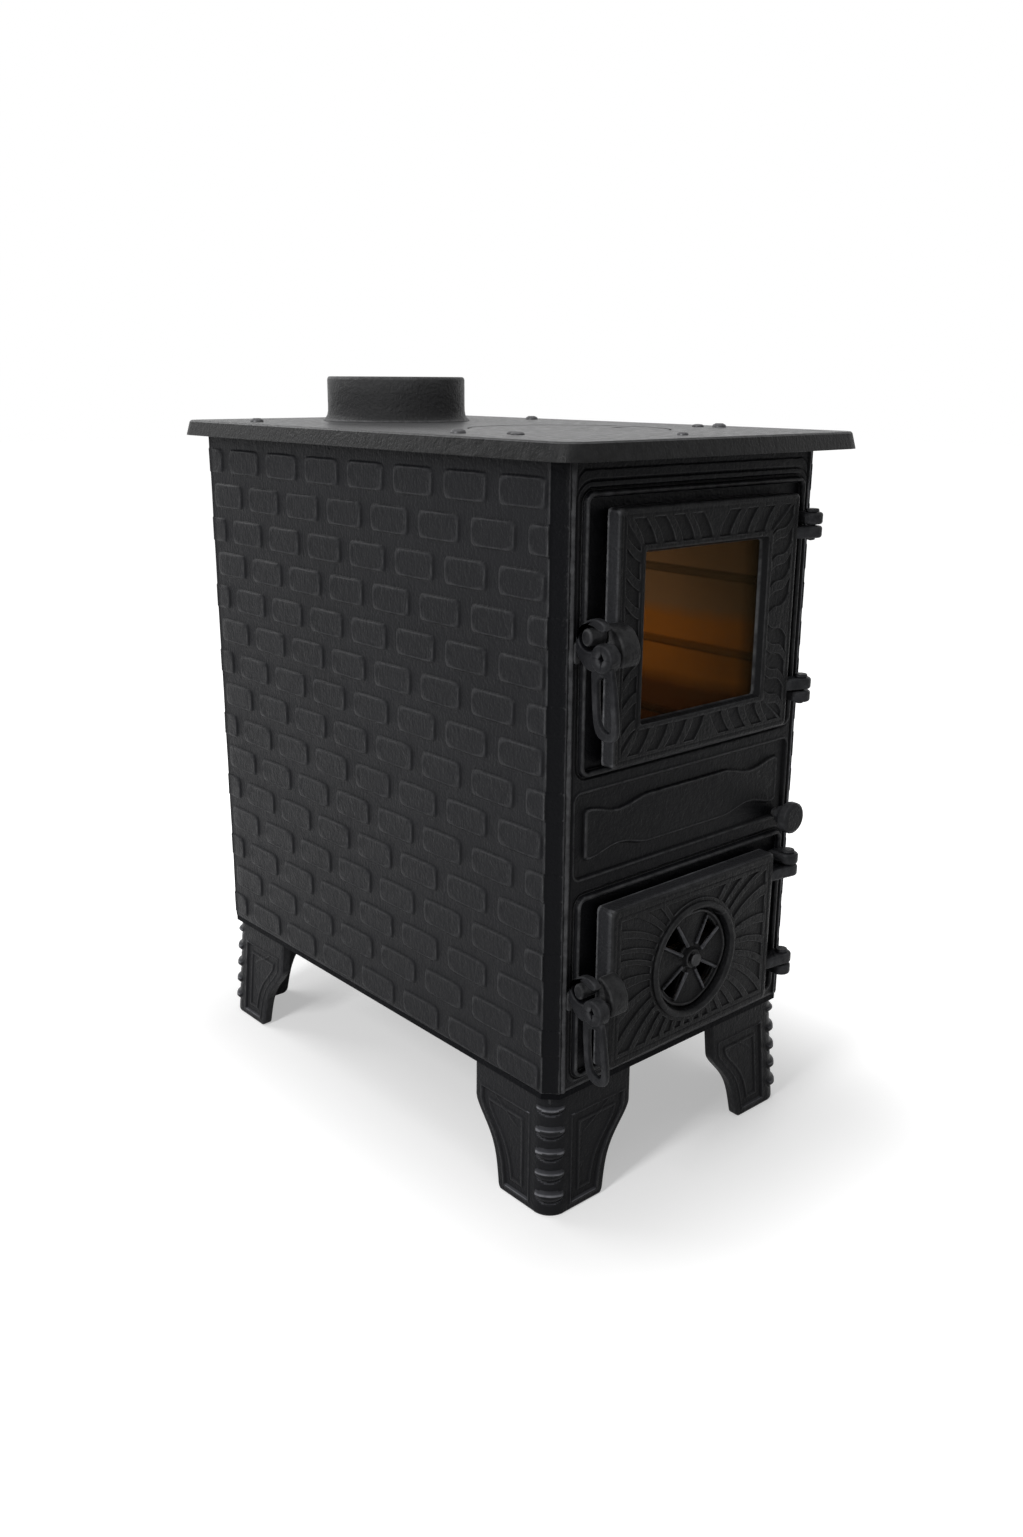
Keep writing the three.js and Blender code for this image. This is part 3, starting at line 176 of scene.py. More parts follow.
def skin(name, points, wrap=(True, False), caps=(False, False), weld=False):
    """Quads over a grid of points (rows, columns, xyz in mm). wrap closes a direction;
    caps closes the first and last column with one face each. A closed skin whose
    signed volume (sum of p0 . (p1 x p2) / 6) is negative is turned round."""
    rows, cols = points.shape[:2]
    i = np.arange(rows if wrap[0] else rows - 1)[:, None]
    j = np.arange(cols if wrap[1] else cols - 1)[None, :]
    i2, j2 = (i + 1) % rows, (j + 1) % cols
    quads = np.stack([i * cols + j, i2 * cols + j, i2 * cols + j2, i * cols + j2], -1)
    quads = quads.reshape(-1, 4)
    co = points.reshape(-1, 3) * 0.001
    rings = []
    if caps[0]:
        rings.append((np.arange(rows) * cols)[::-1])
    if caps[1]:
        rings.append(np.arange(rows) * cols + cols - 1)
    p = co[quads] - co.mean(0)
    volume = np.einsum("ij,ij->", p[:, 0], np.cross(p[:, 1], p[:, 2])) + np.einsum(
        "ij,ij->", p[:, 0], np.cross(p[:, 2], p[:, 3]))
    for ring in rings:
        q = co[ring] - co.mean(0)
        volume += np.einsum(
            "ij,ij->", np.cross(q[1:-1], q[2:]), np.repeat(q[:1], len(q) - 2, 0))
    if volume < 0:
        quads = quads[:, ::-1]
        rings = [r[::-1] for r in rings]
    loops = np.concatenate([quads.ravel(), *rings]).astype(np.int32)
    sizes = np.concatenate([np.full(len(quads), 4), [len(r) for r in rings]]).astype(int)
    starts = np.concatenate([[0], np.cumsum(sizes)[:-1]]).astype(np.int32)
    mesh = bpy.data.meshes.new(name)
    mesh.vertices.add(len(co))
    mesh.vertices.foreach_set("co", co.astype(np.float32).ravel())
    mesh.loops.add(len(loops))
    mesh.loops.foreach_set("vertex_index", loops)
    mesh.polygons.add(len(sizes))
    mesh.polygons.foreach_set("loop_start", starts)
    mesh.update(calc_edges=True)
    if weld:
        bm = bmesh.new()
        bm.from_mesh(mesh)
        bmesh.ops.remove_doubles(bm, verts=bm.verts, dist=2e-6)
        bmesh.ops.dissolve_degenerate(bm, edges=bm.edges, dist=1e-7)
        bm.to_mesh(mesh)
        bm.free()
    mesh.validate()
    soften(mesh)
    return mesh


def sheet(name, co, quads):
    """A mesh of the quads alone, with no point that they don't use; co in mm."""
    used = np.unique(quads)
    index = np.zeros(len(co), int)
    index[used] = np.arange(len(used))
    mesh = bpy.data.meshes.new(name)
    mesh.from_pydata((co * 0.001)[used], [], index[quads])
    soften(mesh)
    return mesh


def give_wall(piece, thickness):
    """Thickens a sheet behind its face."""
    wall = piece.modifiers.new("wall", "SOLIDIFY")
    wall.thickness = thickness
    wall.offset = -1


def rounded_copy(node, width, segments, finish):
    """A merged copy of a node with its edges rounded, shown in the node's stead."""
    source = frame["nodes"][node]
    mesh = source.data.copy()
    bm = bmesh.new()
    bm.from_mesh(mesh)
    bmesh.ops.remove_doubles(bm, verts=bm.verts, dist=2e-6)
    bmesh.ops.dissolve_limit(
        bm, angle_limit=math.radians(0.6), verts=bm.verts, edges=bm.edges)
    bmesh.ops.recalc_face_normals(bm, faces=bm.faces)
    bm.to_mesh(mesh)
    bm.free()
    mesh.name = node + "_cast"
    piece = new_piece(mesh, source["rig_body"], SLOTS[node], finish)
    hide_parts(node)
    soften(mesh, 32)
    bevel = piece.modifiers.new("edges", "BEVEL")
    bevel.width = width * 0.001
    bevel.segments = segments
    bevel.limit_method = "ANGLE"
    bevel.angle_limit = math.radians(32)
    bevel.harden_normals = True


def dress(node):
    """Gives a node its finish in place."""
    piece = frame["nodes"][node]
    finish = FINISH[SLOTS[node]]
    if not piece.material_slots:
        piece.data.materials.append(finish)
    for place in piece.material_slots:
        place.material = finish


def of_faces(mesh, what):
    """The centre, in metres, or the normal of each face, as rows of x, y and z."""
    found = np.empty(len(mesh.polygons) * 3)
    mesh.polygons.foreach_get(what, found)
    return found.reshape(-1, 3).T


def paint_faces(piece, chosen, finish="lit_rim_iron"):
    """Gives the faces whose centres, in mm, chosen picks another finish."""
    mesh = piece.data
    mesh.materials.append(FINISH[finish])
    mesh.polygons.foreach_set(
        "material_index", chosen(*(of_faces(mesh, "center") * 1000)).astype(np.int32))


def smooth(t):
    """The ease 3t^2 - 2t^3, held at 0 and 1 outside."""
    t = np.clip(t, 0, 1)
    return t * t * (3 - 2 * t)


def round_bar(d, half):
    """Height of a round bar across its width: the root of 1 - (d / half)^2."""
    return np.sqrt(np.clip(1 - (d / half) ** 2, 0, 1))


def box_distance(a, b, a0, a1, b0, b1, r):
    """Signed distance to a rectangle with corners of radius r, negative inside."""
    qa = np.abs(a - (a0 + a1) / 2) - (a1 - a0) / 2 + r
    qb = np.abs(b - (b0 + b1) / 2) - (b1 - b0) / 2 + r
    outside = np.hypot(np.maximum(qa, 0), np.maximum(qb, 0))
    return outside + np.minimum(np.maximum(qa, qb), 0) - r


def bell(value, width):
    """The round hump exp(-(value / width)^2)."""
    return np.exp(-(value / width) ** 2)


def waviness(a, b, seed):
    """Slow unevenness of a casting: four crossed sine waves, about -1 to 1."""
    return 0.25 * (
        np.sin(a / 23 + b / 61 + seed) + np.sin(a / 47 - b / 29 + 2.1 * seed)
        + np.sin(b / 17 + a / 83 + 1.3 + seed) + np.sin((a + b) / 13.7 + 0.7 * seed))


def lines(lo, hi, step, fine, fine_step):
    """Grid lines from lo to hi, step apart, and closer within each (from, to) band."""
    parts = [np.linspace(lo, hi, max(2, int(round((hi - lo) / step)) + 1))]
    for a, b in fine:
        parts.append(np.linspace(a, b, max(2, int(round((b - a) / fine_step)) + 1)))
    all_lines = np.unique(np.round(np.concatenate(parts), 3))
    all_lines = all_lines[(all_lines >= lo - 1e-6) & (all_lines <= hi + 1e-6)]
    keep = np.concatenate([[True], np.diff(all_lines) > 0.3])
    kept = all_lines[keep]
    kept[-1] = hi
    return kept


def rect_ring(a0, a1, b0, b1, r, per_side):
    """Points round a rectangle with corners of radius r, counter-clockwise, the same
    share of them on each side, so that rings of any size match point for point."""
    t = np.linspace(0, 1, per_side, endpoint=False)
    a = np.concatenate([a0 + (a1 - a0) * t, np.full(per_side, a1),
                        a1 - (a1 - a0) * t, np.full(per_side, a0)])
    b = np.concatenate([np.full(per_side, b0), b0 + (b1 - b0) * t,
                        np.full(per_side, b1), b1 - (b1 - b0) * t])
    ca, cb = np.clip(a, a0 + r, a1 - r), np.clip(b, b0 + r, b1 - r)
    da, db = a - ca, b - cb
    size = np.maximum(np.hypot(da, db), 1e-9)
    return np.stack([ca + da / size * r, cb + db / size * r], -1)


def rounded_line(points, passes):
    """Corner cutting: each pass puts two points a quarter in from a side's ends."""
    points = np.asarray(points, float)
    for _ in range(passes):
        ahead = np.roll(points, -1, 0)
        points = np.stack([points * 0.75 + ahead * 0.25, points * 0.25 + ahead * 0.75], 1)
        points = points.reshape(-1, 2)
    return points


def slab(name, outline, lo, hi, axis, bevel, steps):
    """An outline carried along an axis from lo to hi, its two end edges rounded: at
    bevel (1 - cos a) from an end it is drawn in by bevel (1 - sin a), a from 0 to 90
    degrees, along the mean of the two sides' normals at each corner."""
    outline = np.asarray(outline, float)
    area = 0.5 * np.sum(
        outline[:, 0] * np.roll(outline[:, 1], -1) - np.roll(outline[:, 0], -1) * outline[:, 1])
    if area < 0:
        outline = outline[::-1]
    ahead = np.roll(outline, -1, 0) - outline
    ahead /= np.maximum(np.linalg.norm(ahead, axis=1, keepdims=True), 1e-9)
    normal = np.stack([ahead[:, 1], -ahead[:, 0]], -1)
    mean = normal + np.roll(normal, 1, 0)
    mean /= np.maximum(np.linalg.norm(mean, axis=1, keepdims=True), 1e-9)
    spread = np.clip(np.sum(mean * normal, 1, keepdims=True), 0.5, 1)
    inward = -mean / spread
    a = np.linspace(0, math.pi / 2, steps + 1)
    inset = np.concatenate([bevel * (1 - np.sin(a)), (bevel * (1 - np.sin(a)))[::-1]])
    way = np.concatenate([lo + bevel * (1 - np.cos(a)), (hi - bevel * (1 - np.cos(a)))[::-1]])
    ring = outline[:, None, :] + inward[:, None, :] * inset[None, :, None]
    along = np.broadcast_to(way[None, :], ring.shape[:2])
    order = {"x": (along, ring[..., 0], ring[..., 1]),
             "y": (ring[..., 0], along, ring[..., 1]),
             "z": (ring[..., 0], ring[..., 1], along)}[axis]
    return skin(name, np.stack(order, -1), wrap=(True, False), caps=(True, True))


def arc(cx, cy, r, start, end, steps):
    """Points on a circle, angles in degrees."""
    a = np.radians(np.linspace(start, end, steps + 1))
    return np.stack([cx + r * np.cos(a), cy + r * np.sin(a)], -1)


def level(ring, y):
    """A ring of (x, z) points at depth y, which is one value or a column of them."""
    return np.concatenate([ring[:, :1], np.broadcast_to(y, (len(ring), 1)), ring[:, 1:]], 1)


def turned(name, profile, centre, axis, steps):
    """A profile of (radius, way) turned about an axis through centre."""
    profile = np.asarray(profile, float)
    a = np.linspace(0, 2 * math.pi, steps, endpoint=False)[:, None]
    c, s = profile[None, :, 0] * np.cos(a), profile[None, :, 0] * np.sin(a)
    w = np.broadcast_to(profile[None, :, 1], c.shape)
    x, y, z = {"z": (c, s, w), "y": (c, w, s), "x": (w, c, s)}[axis]
    grid = np.stack([x + centre[0], y + centre[1], z + centre[2]], -1)
    return skin(name, grid, wrap=(True, False), weld=True)


# ------------------------------------------------------------------ finishes
def node_tree(name):
    """A new material, its node tree and its shader."""
    finish = bpy.data.materials.new(name)
    finish.use_nodes = True
    return finish, finish.node_tree, finish.node_tree.nodes["Principled BSDF"]


def fill(tree, node, inputs):
    """Sets a node's inputs, by name or number, to values or links them to outputs."""
    for key, value in inputs.items():
        if isinstance(value, bpy.types.NodeSocket):
            tree.links.new(value, node.inputs[key])
        else:
            node.inputs[key].default_value = value


def add(tree, kind, inputs, **settings):
    """A new shader node; returns its outputs."""
    node = tree.nodes.new("ShaderNode" + kind)
    for key, value in settings.items():
        setattr(node, key, value)
    fill(tree, node, inputs)
    return node.outputs


def place_on(tree):
    """The point's place in the piece's own frame, in metres."""
    return add(tree, "TexCoord", {})["Object"]


def noise(tree, scale, detail, place, roughness=0.5):
    """Cloudy noise of about 0.3 to 0.7."""
    return add(tree, "TexNoise", {"Scale": scale, "Detail": detail, "Roughness": roughness,
                                  "Vector": place})["Fac"]


def ramp(tree, value, low, high, start=0.3, end=0.7, ease="LINEAR"):
    """Maps start..end to low..high, straight or eased, and holds the ends."""
    return add(tree, "MapRange", {
        "Value": value, "From Min": start, "From Max": end, "To Min": low, "To Max": high,
        }, interpolation_type=ease)["Result"]


def reckon(tree, operation, *values):
    """One step of arithmetic."""
    return add(tree, "Math", dict(enumerate(values)), operation=operation)[0]


def mix(tree, share, first, second):
    """One colour melting into another as share goes from 0 to 1."""
    return add(tree, "Mix", {"Factor": share, "A": first, "B": second},
               data_type="RGBA")["Result"]


def bump(tree, height, strength, distance, under=None):
    """The normal bent by a height, over another bump if there is one."""
    inputs = {"Height": height, "Strength": strength, "Distance": distance}
    if under is not None:
        inputs["Normal"] = under
    return add(tree, "Bump", inputs)["Normal"]


def tint(colour, share, lift=0.0):
    """A colour times a share plus a lift, with full alpha."""
    return (*[lift + c * share for c in colour], 1)


def iron_finish(name, colour, roughness, grain=1.0, gloss=0.05, streak=0.5, wear_and_glint=1.0,
                rim=1.0):
    """Painted sand casting: fine pitted grain and brushed streaks in the bump, slow
    clouds in tone and roughness. From the mesh's pointiness, convex edges are lighter,
    partly paint abraded bright and partly a painted highlight, and hollows darker, a
    painted shade. grain and streak say how much of those there is, wear how far the
    edges lighten; gloss is the specular level, and rim paints shade on what doesn't
    face up."""
    finish, tree, shader = node_tree(name)
    place = place_on(tree)
    fine = noise(tree, 330, 3, place, 0.65)
    coarse = noise(tree, 110, 2, place)
    cloud = noise(tree, 9, 3, place)
    streaks = noise(tree, 420, 2, add(tree, "Mapping", {
        "Vector": place, "Rotation": (0.75, 0.0, 0.75), "Scale": (1.0, 1.0, 0.16)})["Vector"])
    grey = reckon(tree, "MULTIPLY_ADD", fine, 0.45, reckon(tree, "MULTIPLY", cloud, 0.55))
    tone = mix(tree, grey, tint(colour, 0.66), tint(colour, 1.36))
    point = add(tree, "NewGeometry", {})["Pointiness"]
    # Hollows, where the pointiness is low, darken towards a quarter of the colour: painted shade.
    hollow_shade = mix(tree, ramp(tree, point, 0, 1, 0.43, 0.495), tint(colour, 0.25), tone)
    # Convex edges lighten towards three times the colour: partly paint abraded bright, partly a
    # painted highlight.
    edge_wear_and_glint = reckon(tree, "MULTIPLY", ramp(tree, point, 0, wear_and_glint, 0.511, 0.536),
                  ramp(tree, coarse, 0.3, 1.0))
    edge_glint_and_hollow_shade = mix(tree, edge_wear_and_glint, hollow_shade, tint(colour, 3.0, 0.060))
    # rim scales down every face that doesn't face up: painted shade below a lighter top.
    facing = add(tree, "SeparateXYZ", {0: add(tree, "TexCoord", {})["Normal"]})
    shown = add(tree, "VectorMath", {
        0: edge_glint_and_hollow_shade, "Scale": ramp(tree, facing["Z"], rim, 1, 0.2, 0.9)}, operation="SCALE")
    normal = bump(tree, coarse, 0.5 * grain, 0.0010)
    normal = bump(tree, streaks, 1.0 * streak, 0.0006, normal)
    normal = bump(tree, fine, 0.9 * grain, 0.0009, normal)
    fill(tree, shader, {
        "Base Color": shown[0], "Specular IOR Level": gloss, "Normal": normal,
        "Roughness": ramp(tree, coarse, roughness - 0.06, roughness + 0.08)})
    return finish


def steel_finish():
    """Dull zinc screws and pins."""
    finish, tree, shader = node_tree("dull_zinc")
    cloud = noise(tree, 300, 3, place_on(tree))
    fill(tree, shader, {"Base Color": (0.06, 0.06, 0.063, 1), "Metallic": 0.6,
                        "Roughness": ramp(tree, cloud, 0.38, 0.58)})
    return finish


def liner_finish(colour):
    """Iron of the fire box: amber in a band at mid height, darker at the foot and
    greyer above, the three melting into each other with height. The joints between
    the ribs and the strip next to the front are darker."""
    finish, tree, shader = node_tree("firebox_iron")
    place = place_on(tree)
    axes = add(tree, "SeparateXYZ", {0: place})
    wander = reckon(tree, "MULTIPLY_ADD", noise(tree, 11, 3, place), 0.03, axes["Z"])
    # Darker at the foot and greyer above the amber band.
    dark_foot = [c * k for c, k in zip(colour, (0.14, 0.10, 0.14))]
    ash = [c * k for c, k in zip(colour, (0.66, 1.05, 4.0))]
    node = tree.nodes.new("ShaderNodeValToRGB")
    stops = node.color_ramp.elements
    steps = ((0.0, dark_foot), (0.345, [c * 1.7 for c in dark_foot]), (0.40, colour), (0.585, colour),
             (0.63, ash), (1.0, [c * 0.7 for c in ash]))
    for k, (at, shade) in enumerate(steps):
        stop = stops[k] if k < 1 else (stops.new(at) if k < len(steps) - 1 else stops[-1])
        stop.position, stop.color = at, (*shade, 1)
    fill(tree, node, {"Fac": ramp(tree, wander, 0, 1, 0.34, 0.66)})
    near = ramp(tree, axes["Y"], 0.13, 1, -0.212, -0.194)
    joint = reckon(tree, "PINGPONG", reckon(tree, "SUBTRACT", axes["Z"], 0.4064), 0.0775 / 2)
    light = reckon(tree, "MULTIPLY", near, ramp(tree, joint, 0.42, 1, 0.003, 0.0055))
    fill(tree, shader, {"Base Color": mix(tree, light, (0, 0, 0, 1), node.outputs["Color"]),
                        "Roughness": 0.9, "Specular IOR Level": 0.0})
    return finish


def glass_finish(colour):
    """Amber heat-resistant glass: a tinted film over clear glass, cloudier in places."""
    finish, tree, shader = node_tree("amber_glass")
    cloud = noise(tree, 7, 2, place_on(tree))
    fill(tree, shader, {"Base Color": mix(tree, cloud, tint(colour, 0.75), tint(colour, 1.15)),
                        "Roughness": 0.16, "Specular IOR Level": 0.0,
                        "Alpha": ramp(tree, cloud, 0.34, 0.42)})
    return finish


def rope_finish():
    """Braided glass rope: slanted waves in the bump."""
    finish, tree, shader = node_tree("glass_rope")
    wave = add(tree, "TexWave", {"Scale": 160, "Vector": place_on(tree)},
               bands_direction="DIAGONAL")
    fill(tree, shader, {"Base Color": (0.045, 0.045, 0.045, 1), "Roughness": 0.95,
                        "Normal": bump(tree, wave["Fac"], 0.8, 0.0008)})
    return finish


def make_finishes():
    """Fills FINISH: the eight of the slots, and for the irons some variants."""
    c = bpy.context.scene.stove_colours
    rough = c.iron_roughness
    irons = {
        "side_iron": ("side_iron_paint", c.side, 1, rough, dict(wear_and_glint=0.32)),
        "front_iron": ("front_iron_paint", c.front, 1, rough, dict(grain=1.3)),
        # Three times the door paint, on the doors' rim faces: painted light on the rims.
        "lit_rim_iron": ("lit_rim_paint", c.front, 3.0, rough, dict(grain=2.0, streak=1.6)),
        "base_iron": ("base_paint", c.plate, 1, 0.5, dict(streak=0.1, gloss=0.02, wear_and_glint=0.0)),
        # Eight times the door paint, on the bar along the hinge side: a painted highlight.
        "edge_highlight": ("edge_highlight_paint", c.front, 8, 0.3, dict(grain=0.6)),
        # Over three times the side paint, on up-facing slopes of the leg bands and on the spinner's
        # ribs: a painted highlight.
        "crest_highlight_iron": ("crest_highlight_paint", c.side, 3.4, 0.32, dict(grain=0.7)),
        "fitting_iron": ("fitting_paint", c.plate, 1.5, rough, dict(streak=0.12, wear_and_glint=0.6)),
        # The darkest paint, on the front casting and the corner strips: painted shade.
        "plate_iron": ("plate_iron_paint", c.plate, 1, rough, dict(streak=0.12)),
        # Lighter paint, with rim at 0.12: a painted sheen on the hob's top and painted shade on its
        # rim.
        "hob_iron": ("hob_iron_paint", c.hob, 1, rough,
                     dict(grain=0.8, gloss=0.075, wear_and_glint=0.4, rim=0.12)),
        "collar_iron": ("collar_paint", c.hob, 0.78, rough,
                        dict(grain=1.8, streak=0.2, wear_and_glint=0.5)),
        "pan_steel": ("pan_paint", c.front, 1, 0.5, dict(grain=0.3)),
    }
    for key, (name, colour, share, roughness, more) in irons.items():
        FINISH[key] = iron_finish(name, [v * share for v in colour], roughness, **more)
    FINISH["inner_iron"] = liner_finish(c.inner)
    FINISH["steel"] = steel_finish()
    FINISH["amber_glass"] = glass_finish(c.glass)
    FINISH["rope"] = rope_finish()


# ------------------------------------------------------------------ side castings
def course_fall(s):
    """The courses close up by 0.9 % towards the rear."""
    return 1 + 0.0088 * (s + DEPTH) / (2 * DEPTH)


def brick_height(s, z, rise, shoulder):
    """Running bond: each course shifted by half a pitch; a brick is a plateau whose
    edge eases up over the shoulder of a rounded rectangle, with a slight rim."""
    long, high = BRICK
    below = (FIRST_COURSE - z) * course_fall(s)
    row = np.clip(np.floor((below + (COURSE - high) / 2) / COURSE), 0, 14)
    start = FIRST_BRICK + (row % 2) * BRICK_PITCH / 2
    ds = np.mod(s - start + BRICK_PITCH / 2, BRICK_PITCH) - BRICK_PITCH / 2
    dz = below - row * COURSE - high / 2
    edge = box_distance(ds, dz, -long / 2, long / 2, -high / 2, high / 2, 7)
    rim = bell(edge + shoulder * 1.1, 0.4 * shoulder)
    return rise * (0.9 * smooth(-edge / shoulder) + 0.16 * rim) * (np.abs(dz) < COURSE / 2 + 0.01)


def side_plan(s):
    """Outer plan line: chamfer, flat and chamfer, found by adding up steps along a
    heading that turns 45 degrees over 4 mm at each edge. Returns x, y and heading."""
    step, turn = 0.05, 4.0
    fine = np.arange(-RIDGE - 22, RIDGE + 22, step)
    heading = np.radians(45) * (
        1 + np.clip((fine + RIDGE) / turn + 0.5, 0, 1) + np.clip((fine - RIDGE) / turn + 0.5, 0, 1))
    x, y = np.cumsum(np.cos(heading) * step), np.cumsum(np.sin(heading) * step)
    mid = np.argmin(np.abs(fine))
    x, y = x - x[mid] + HALF, y - y[mid]
    return np.interp(s, fine, x), np.interp(s, fine, y), np.interp(s, fine, heading)


def side_ring(rise, shoulder, uneven):
    """Outer and inner skin of the right side casting, a ring of points for each height.
    The grid lines run closer where a brick's shoulder or the corner bends."""
    end = CHAMFER * math.sqrt(2)  # how far the skin runs past the ridge
    across = np.array([0, 4.4, 6.8, 7.5, 8.0, 8.5, 9.0, 9.7, 11.6, 18.4, 25.2, 27.1,
                       27.8, 28.3, 28.8, 29.3, 30.0, 32.4])
    s = FIRST_BRICK - BRICK_PITCH * 2 + np.arange(22)[:, None] * BRICK_PITCH / 2 + across
    s = s[np.abs(s) < RIDGE - 2]
    corner = [-1.8, -1.2, -0.6, 0, 0.6, 1.2, 1.8, 2.6]
    tail = RIDGE + np.concatenate(
        [corner, np.linspace(4, end - 1.5, 6), [end - 0.8, end - 0.3, end]])
    s = np.unique(np.concatenate([s, tail, -tail]))
    down = np.array([-0.7, 0, 0.5, 1.0, 1.5, 2.2, 3.6, 6.2, 13.6, 21.0, 23.6, 25.0,
                     25.7, 26.2, 26.7, 27.2, 27.9, 31.8])
    z = (FIRST_COURSE - np.arange(-1, 16)[:, None] * COURSE - down).ravel()
    z = np.unique(np.concatenate([z, PANEL]))
    z = z[(z >= PANEL[0]) & (z <= PANEL[1])]
    x, y, heading = side_plan(s)
    gs, gz = np.meshgrid(s, z, indexing="ij")
    gz[:, 1:-1] = FIRST_COURSE - (FIRST_COURSE - gz[:, 1:-1]) / course_fall(gs[:, 1:-1])
    height = brick_height(gs, gz, rise, shoulder) * (1 - 0.6 * smooth((gs - RIDGE + 16) / 12))
    off = np.abs(gs) - RIDGE
    height = np.where(off > 0, height * 0.25, height)
    height += 0.9 * bell(off, 1.3)
    height += 0.9 * bell(off - end + 1.0, 1.2)
    height = np.where(off > end - 1.0, height - (off - end + 1.0) ** 2 * 0.9, height)
    height = np.minimum(height + uneven * waviness(gs, gz, 0.4), 2.75)
    nx, ny = np.sin(heading)[:, None], -np.cos(heading)[:, None]
    outer = np.stack([x[:, None] + nx * height, y[:, None] + ny * height + SHIFT, gz], -1)
    edge = HALF - CHAMFER
    wall = np.array([[edge, DEPTH - 6], [edge - 1.3, DEPTH - 6], [HALF - 6, RIDGE - 2.5]])
    wall = np.concatenate([wall, (wall * [1, -1])[::-1]])
    inner = np.zeros((len(wall), len(z), 3))
    inner[..., :2] = (wall + [0, SHIFT])[:, None, :]
    inner[..., 2] = z
    return np.concatenate([outer, inner])


class STOVE_OT_sides(bpy.types.Operator):
    """Side castings with their brick relief, folded over the chamfered corners"""

    bl_idname = "stove.sides"
    bl_label = "Side castings"

    def execute(self, context):
        sizes = context.scene.stove_sizes
        ring = side_ring(
            sizes.brick_rise * 1000, sizes.brick_shoulder * 1000, sizes.uneven * 1000)
        for side, name in ((-1, "left"), (1, "right")):
            mesh = skin(name + "_side_casting", ring * [side, 1, 1], caps=(True, True))
            piece = new_piece(mesh, "stove", "side_iron")
            # The chamfered corner strips take the darker front-casting paint: painted shade on the
            # strips, which turn away from the side light.
            paint_faces(piece, lambda x, y, z: (np.abs(y - SHIFT) > RIDGE + 0.4)
                & (np.abs(y - SHIFT) < DEPTH - 0.8), "plate_iron")
            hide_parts(name + "_side_panel")
            ledge = rect_ring(*sorted((side * (HALF - 5), side * (HALF - 18))), 312.3, 320.3, 1, 4)
            new_piece(slab(name + "_grate_ledge", ledge, FRONT + 44, REAR - 44, "y", 0.6, 1),
                      "stove", "side_iron")
            for k, (sx, sy) in enumerate(SCREWS):
                if sx * side > 0:
                    ear = rect_ring(*sorted((side * (abs(sx) - 7.5), side * (HALF - 5))),
                                    sy - 9, sy + 9, 2, 4)
                    new_piece(slab(f"{name}_screw_ear_{k}", ear, PANEL[1] - 12, PANEL[1],
                                   "z", 0.6, 1), "stove", "side_iron")
        return {"FINISHED"}


# ------------------------------------------------------------------ front casting
def plaque_distance(x, z):
    """Signed distance to the plaque: a rounded bar, drawn in by ogee notches that are
    sine squared humps between 0.38 and 0.98 of its half length."""
    middle, tall, long, r = 372.3, 24.5, 135, 6
    k = np.clip((np.abs(x) / long - 0.38) / 0.6, 0, 1)
    hump = np.sin(math.pi * k)
    dip = 7 * hump ** 2 * np.where(k < 0.5, 1, 0.55 + 0.45 * hump)
    edge, side = np.abs(z - middle) - tall + dip + r, np.abs(x) - long + r
    outside = np.hypot(np.maximum(edge, 0), np.maximum(side, 0))
    return outside + np.minimum(np.maximum(edge, side), 0) - r


def front_height(x, z, bead):
    """Relief of the front plate: an outer step, bars along its edges, a bead with a
    groove outside it about each door, the sunk panel between them and its plaque."""
    h = 0.9 * smooth(-box_distance(x, z, -151, 151, 133, 685, 12) / 1.6)
    h = h + 1.9 * round_bar(np.abs(x) - 154.0, 2.5)
    outline = box_distance(x, z, *BEADS[0], 10) - 8.5
    h = h - 1.1 * bell(outline, 0.9) * smooth((z - 590) / 60)
    for box in BEADS:
        d = box_distance(x, z, *box, 10)
        h = h + bead * round_bar(d + 2.2, np.where(x > 140, 3.0, 2.5))
        h = h - 1.7 * bell(d - 1.9, 1.3) - 2.6 * smooth(-(d + 4.6) / 1.2)
    sunk = box_distance(x, z, -147, 147, 332.8, 411.8, 7)
    h = h - 2.6 * smooth(-sunk / 1.8) + 0.7 * bell(sunk - 1.2, 1.2)
    plaque = plaque_distance(x, z)
    return h + 2.5 * smooth(-plaque / 1.8) + 0.5 * bell(plaque + 2.2, 1.1)


def front_sheet(bead, uneven):
    """Quads over grid lines x and z, standing out of FRONT by the relief and a little
    waviness, with the cells inside the door openings left out."""
    half = HALF - CHAMFER - 0.3
    x = lines(-half, half, 3, [(-153, -134), (133, 153)], 0.8)
    z = lines(*PANEL, 3.2, [(130, 145), (308, 340), (343, 362), (383, 434), (655, 690)], 0.8)
    x = np.unique(np.concatenate([x, *[hole[:2] for hole in HOLES]]))
    z = np.unique(np.concatenate([z, *[hole[2:] for hole in HOLES]]))
    gx, gz = np.meshgrid(x, z, indexing="ij")
    height = front_height(gx, gz, bead) + uneven * waviness(gx, gz, 1.7)
    n = len(z)
    i, j = np.meshgrid(np.arange(len(x) - 1), np.arange(n - 1), indexing="ij")
    cx, cz = (x[i] + x[i + 1]) / 2, (z[j] + z[j + 1]) / 2
    keep = np.ones(i.shape, bool)
    for x0, x1, z0, z1 in HOLES:
        keep &= ~((cx > x0) & (cx < x1) & (cz > z0) & (cz < z1))
    i, j = i[keep], j[keep]
    quads = np.stack([i * n + j, (i + 1) * n + j, (i + 1) * n + j + 1, i * n + j + 1], -1)
    return sheet("front_casting", np.stack([gx, FRONT - height, gz], -1).reshape(-1, 3), quads)


# Hinge pairs: the middle's height, and whether the plate's knuckle is the upper one.
PAIRS = {"upper_top": (623.6, True), "upper_foot": (465.5, False),
         "lower_top": (284.3, True), "lower_foot": (175.2, False)}


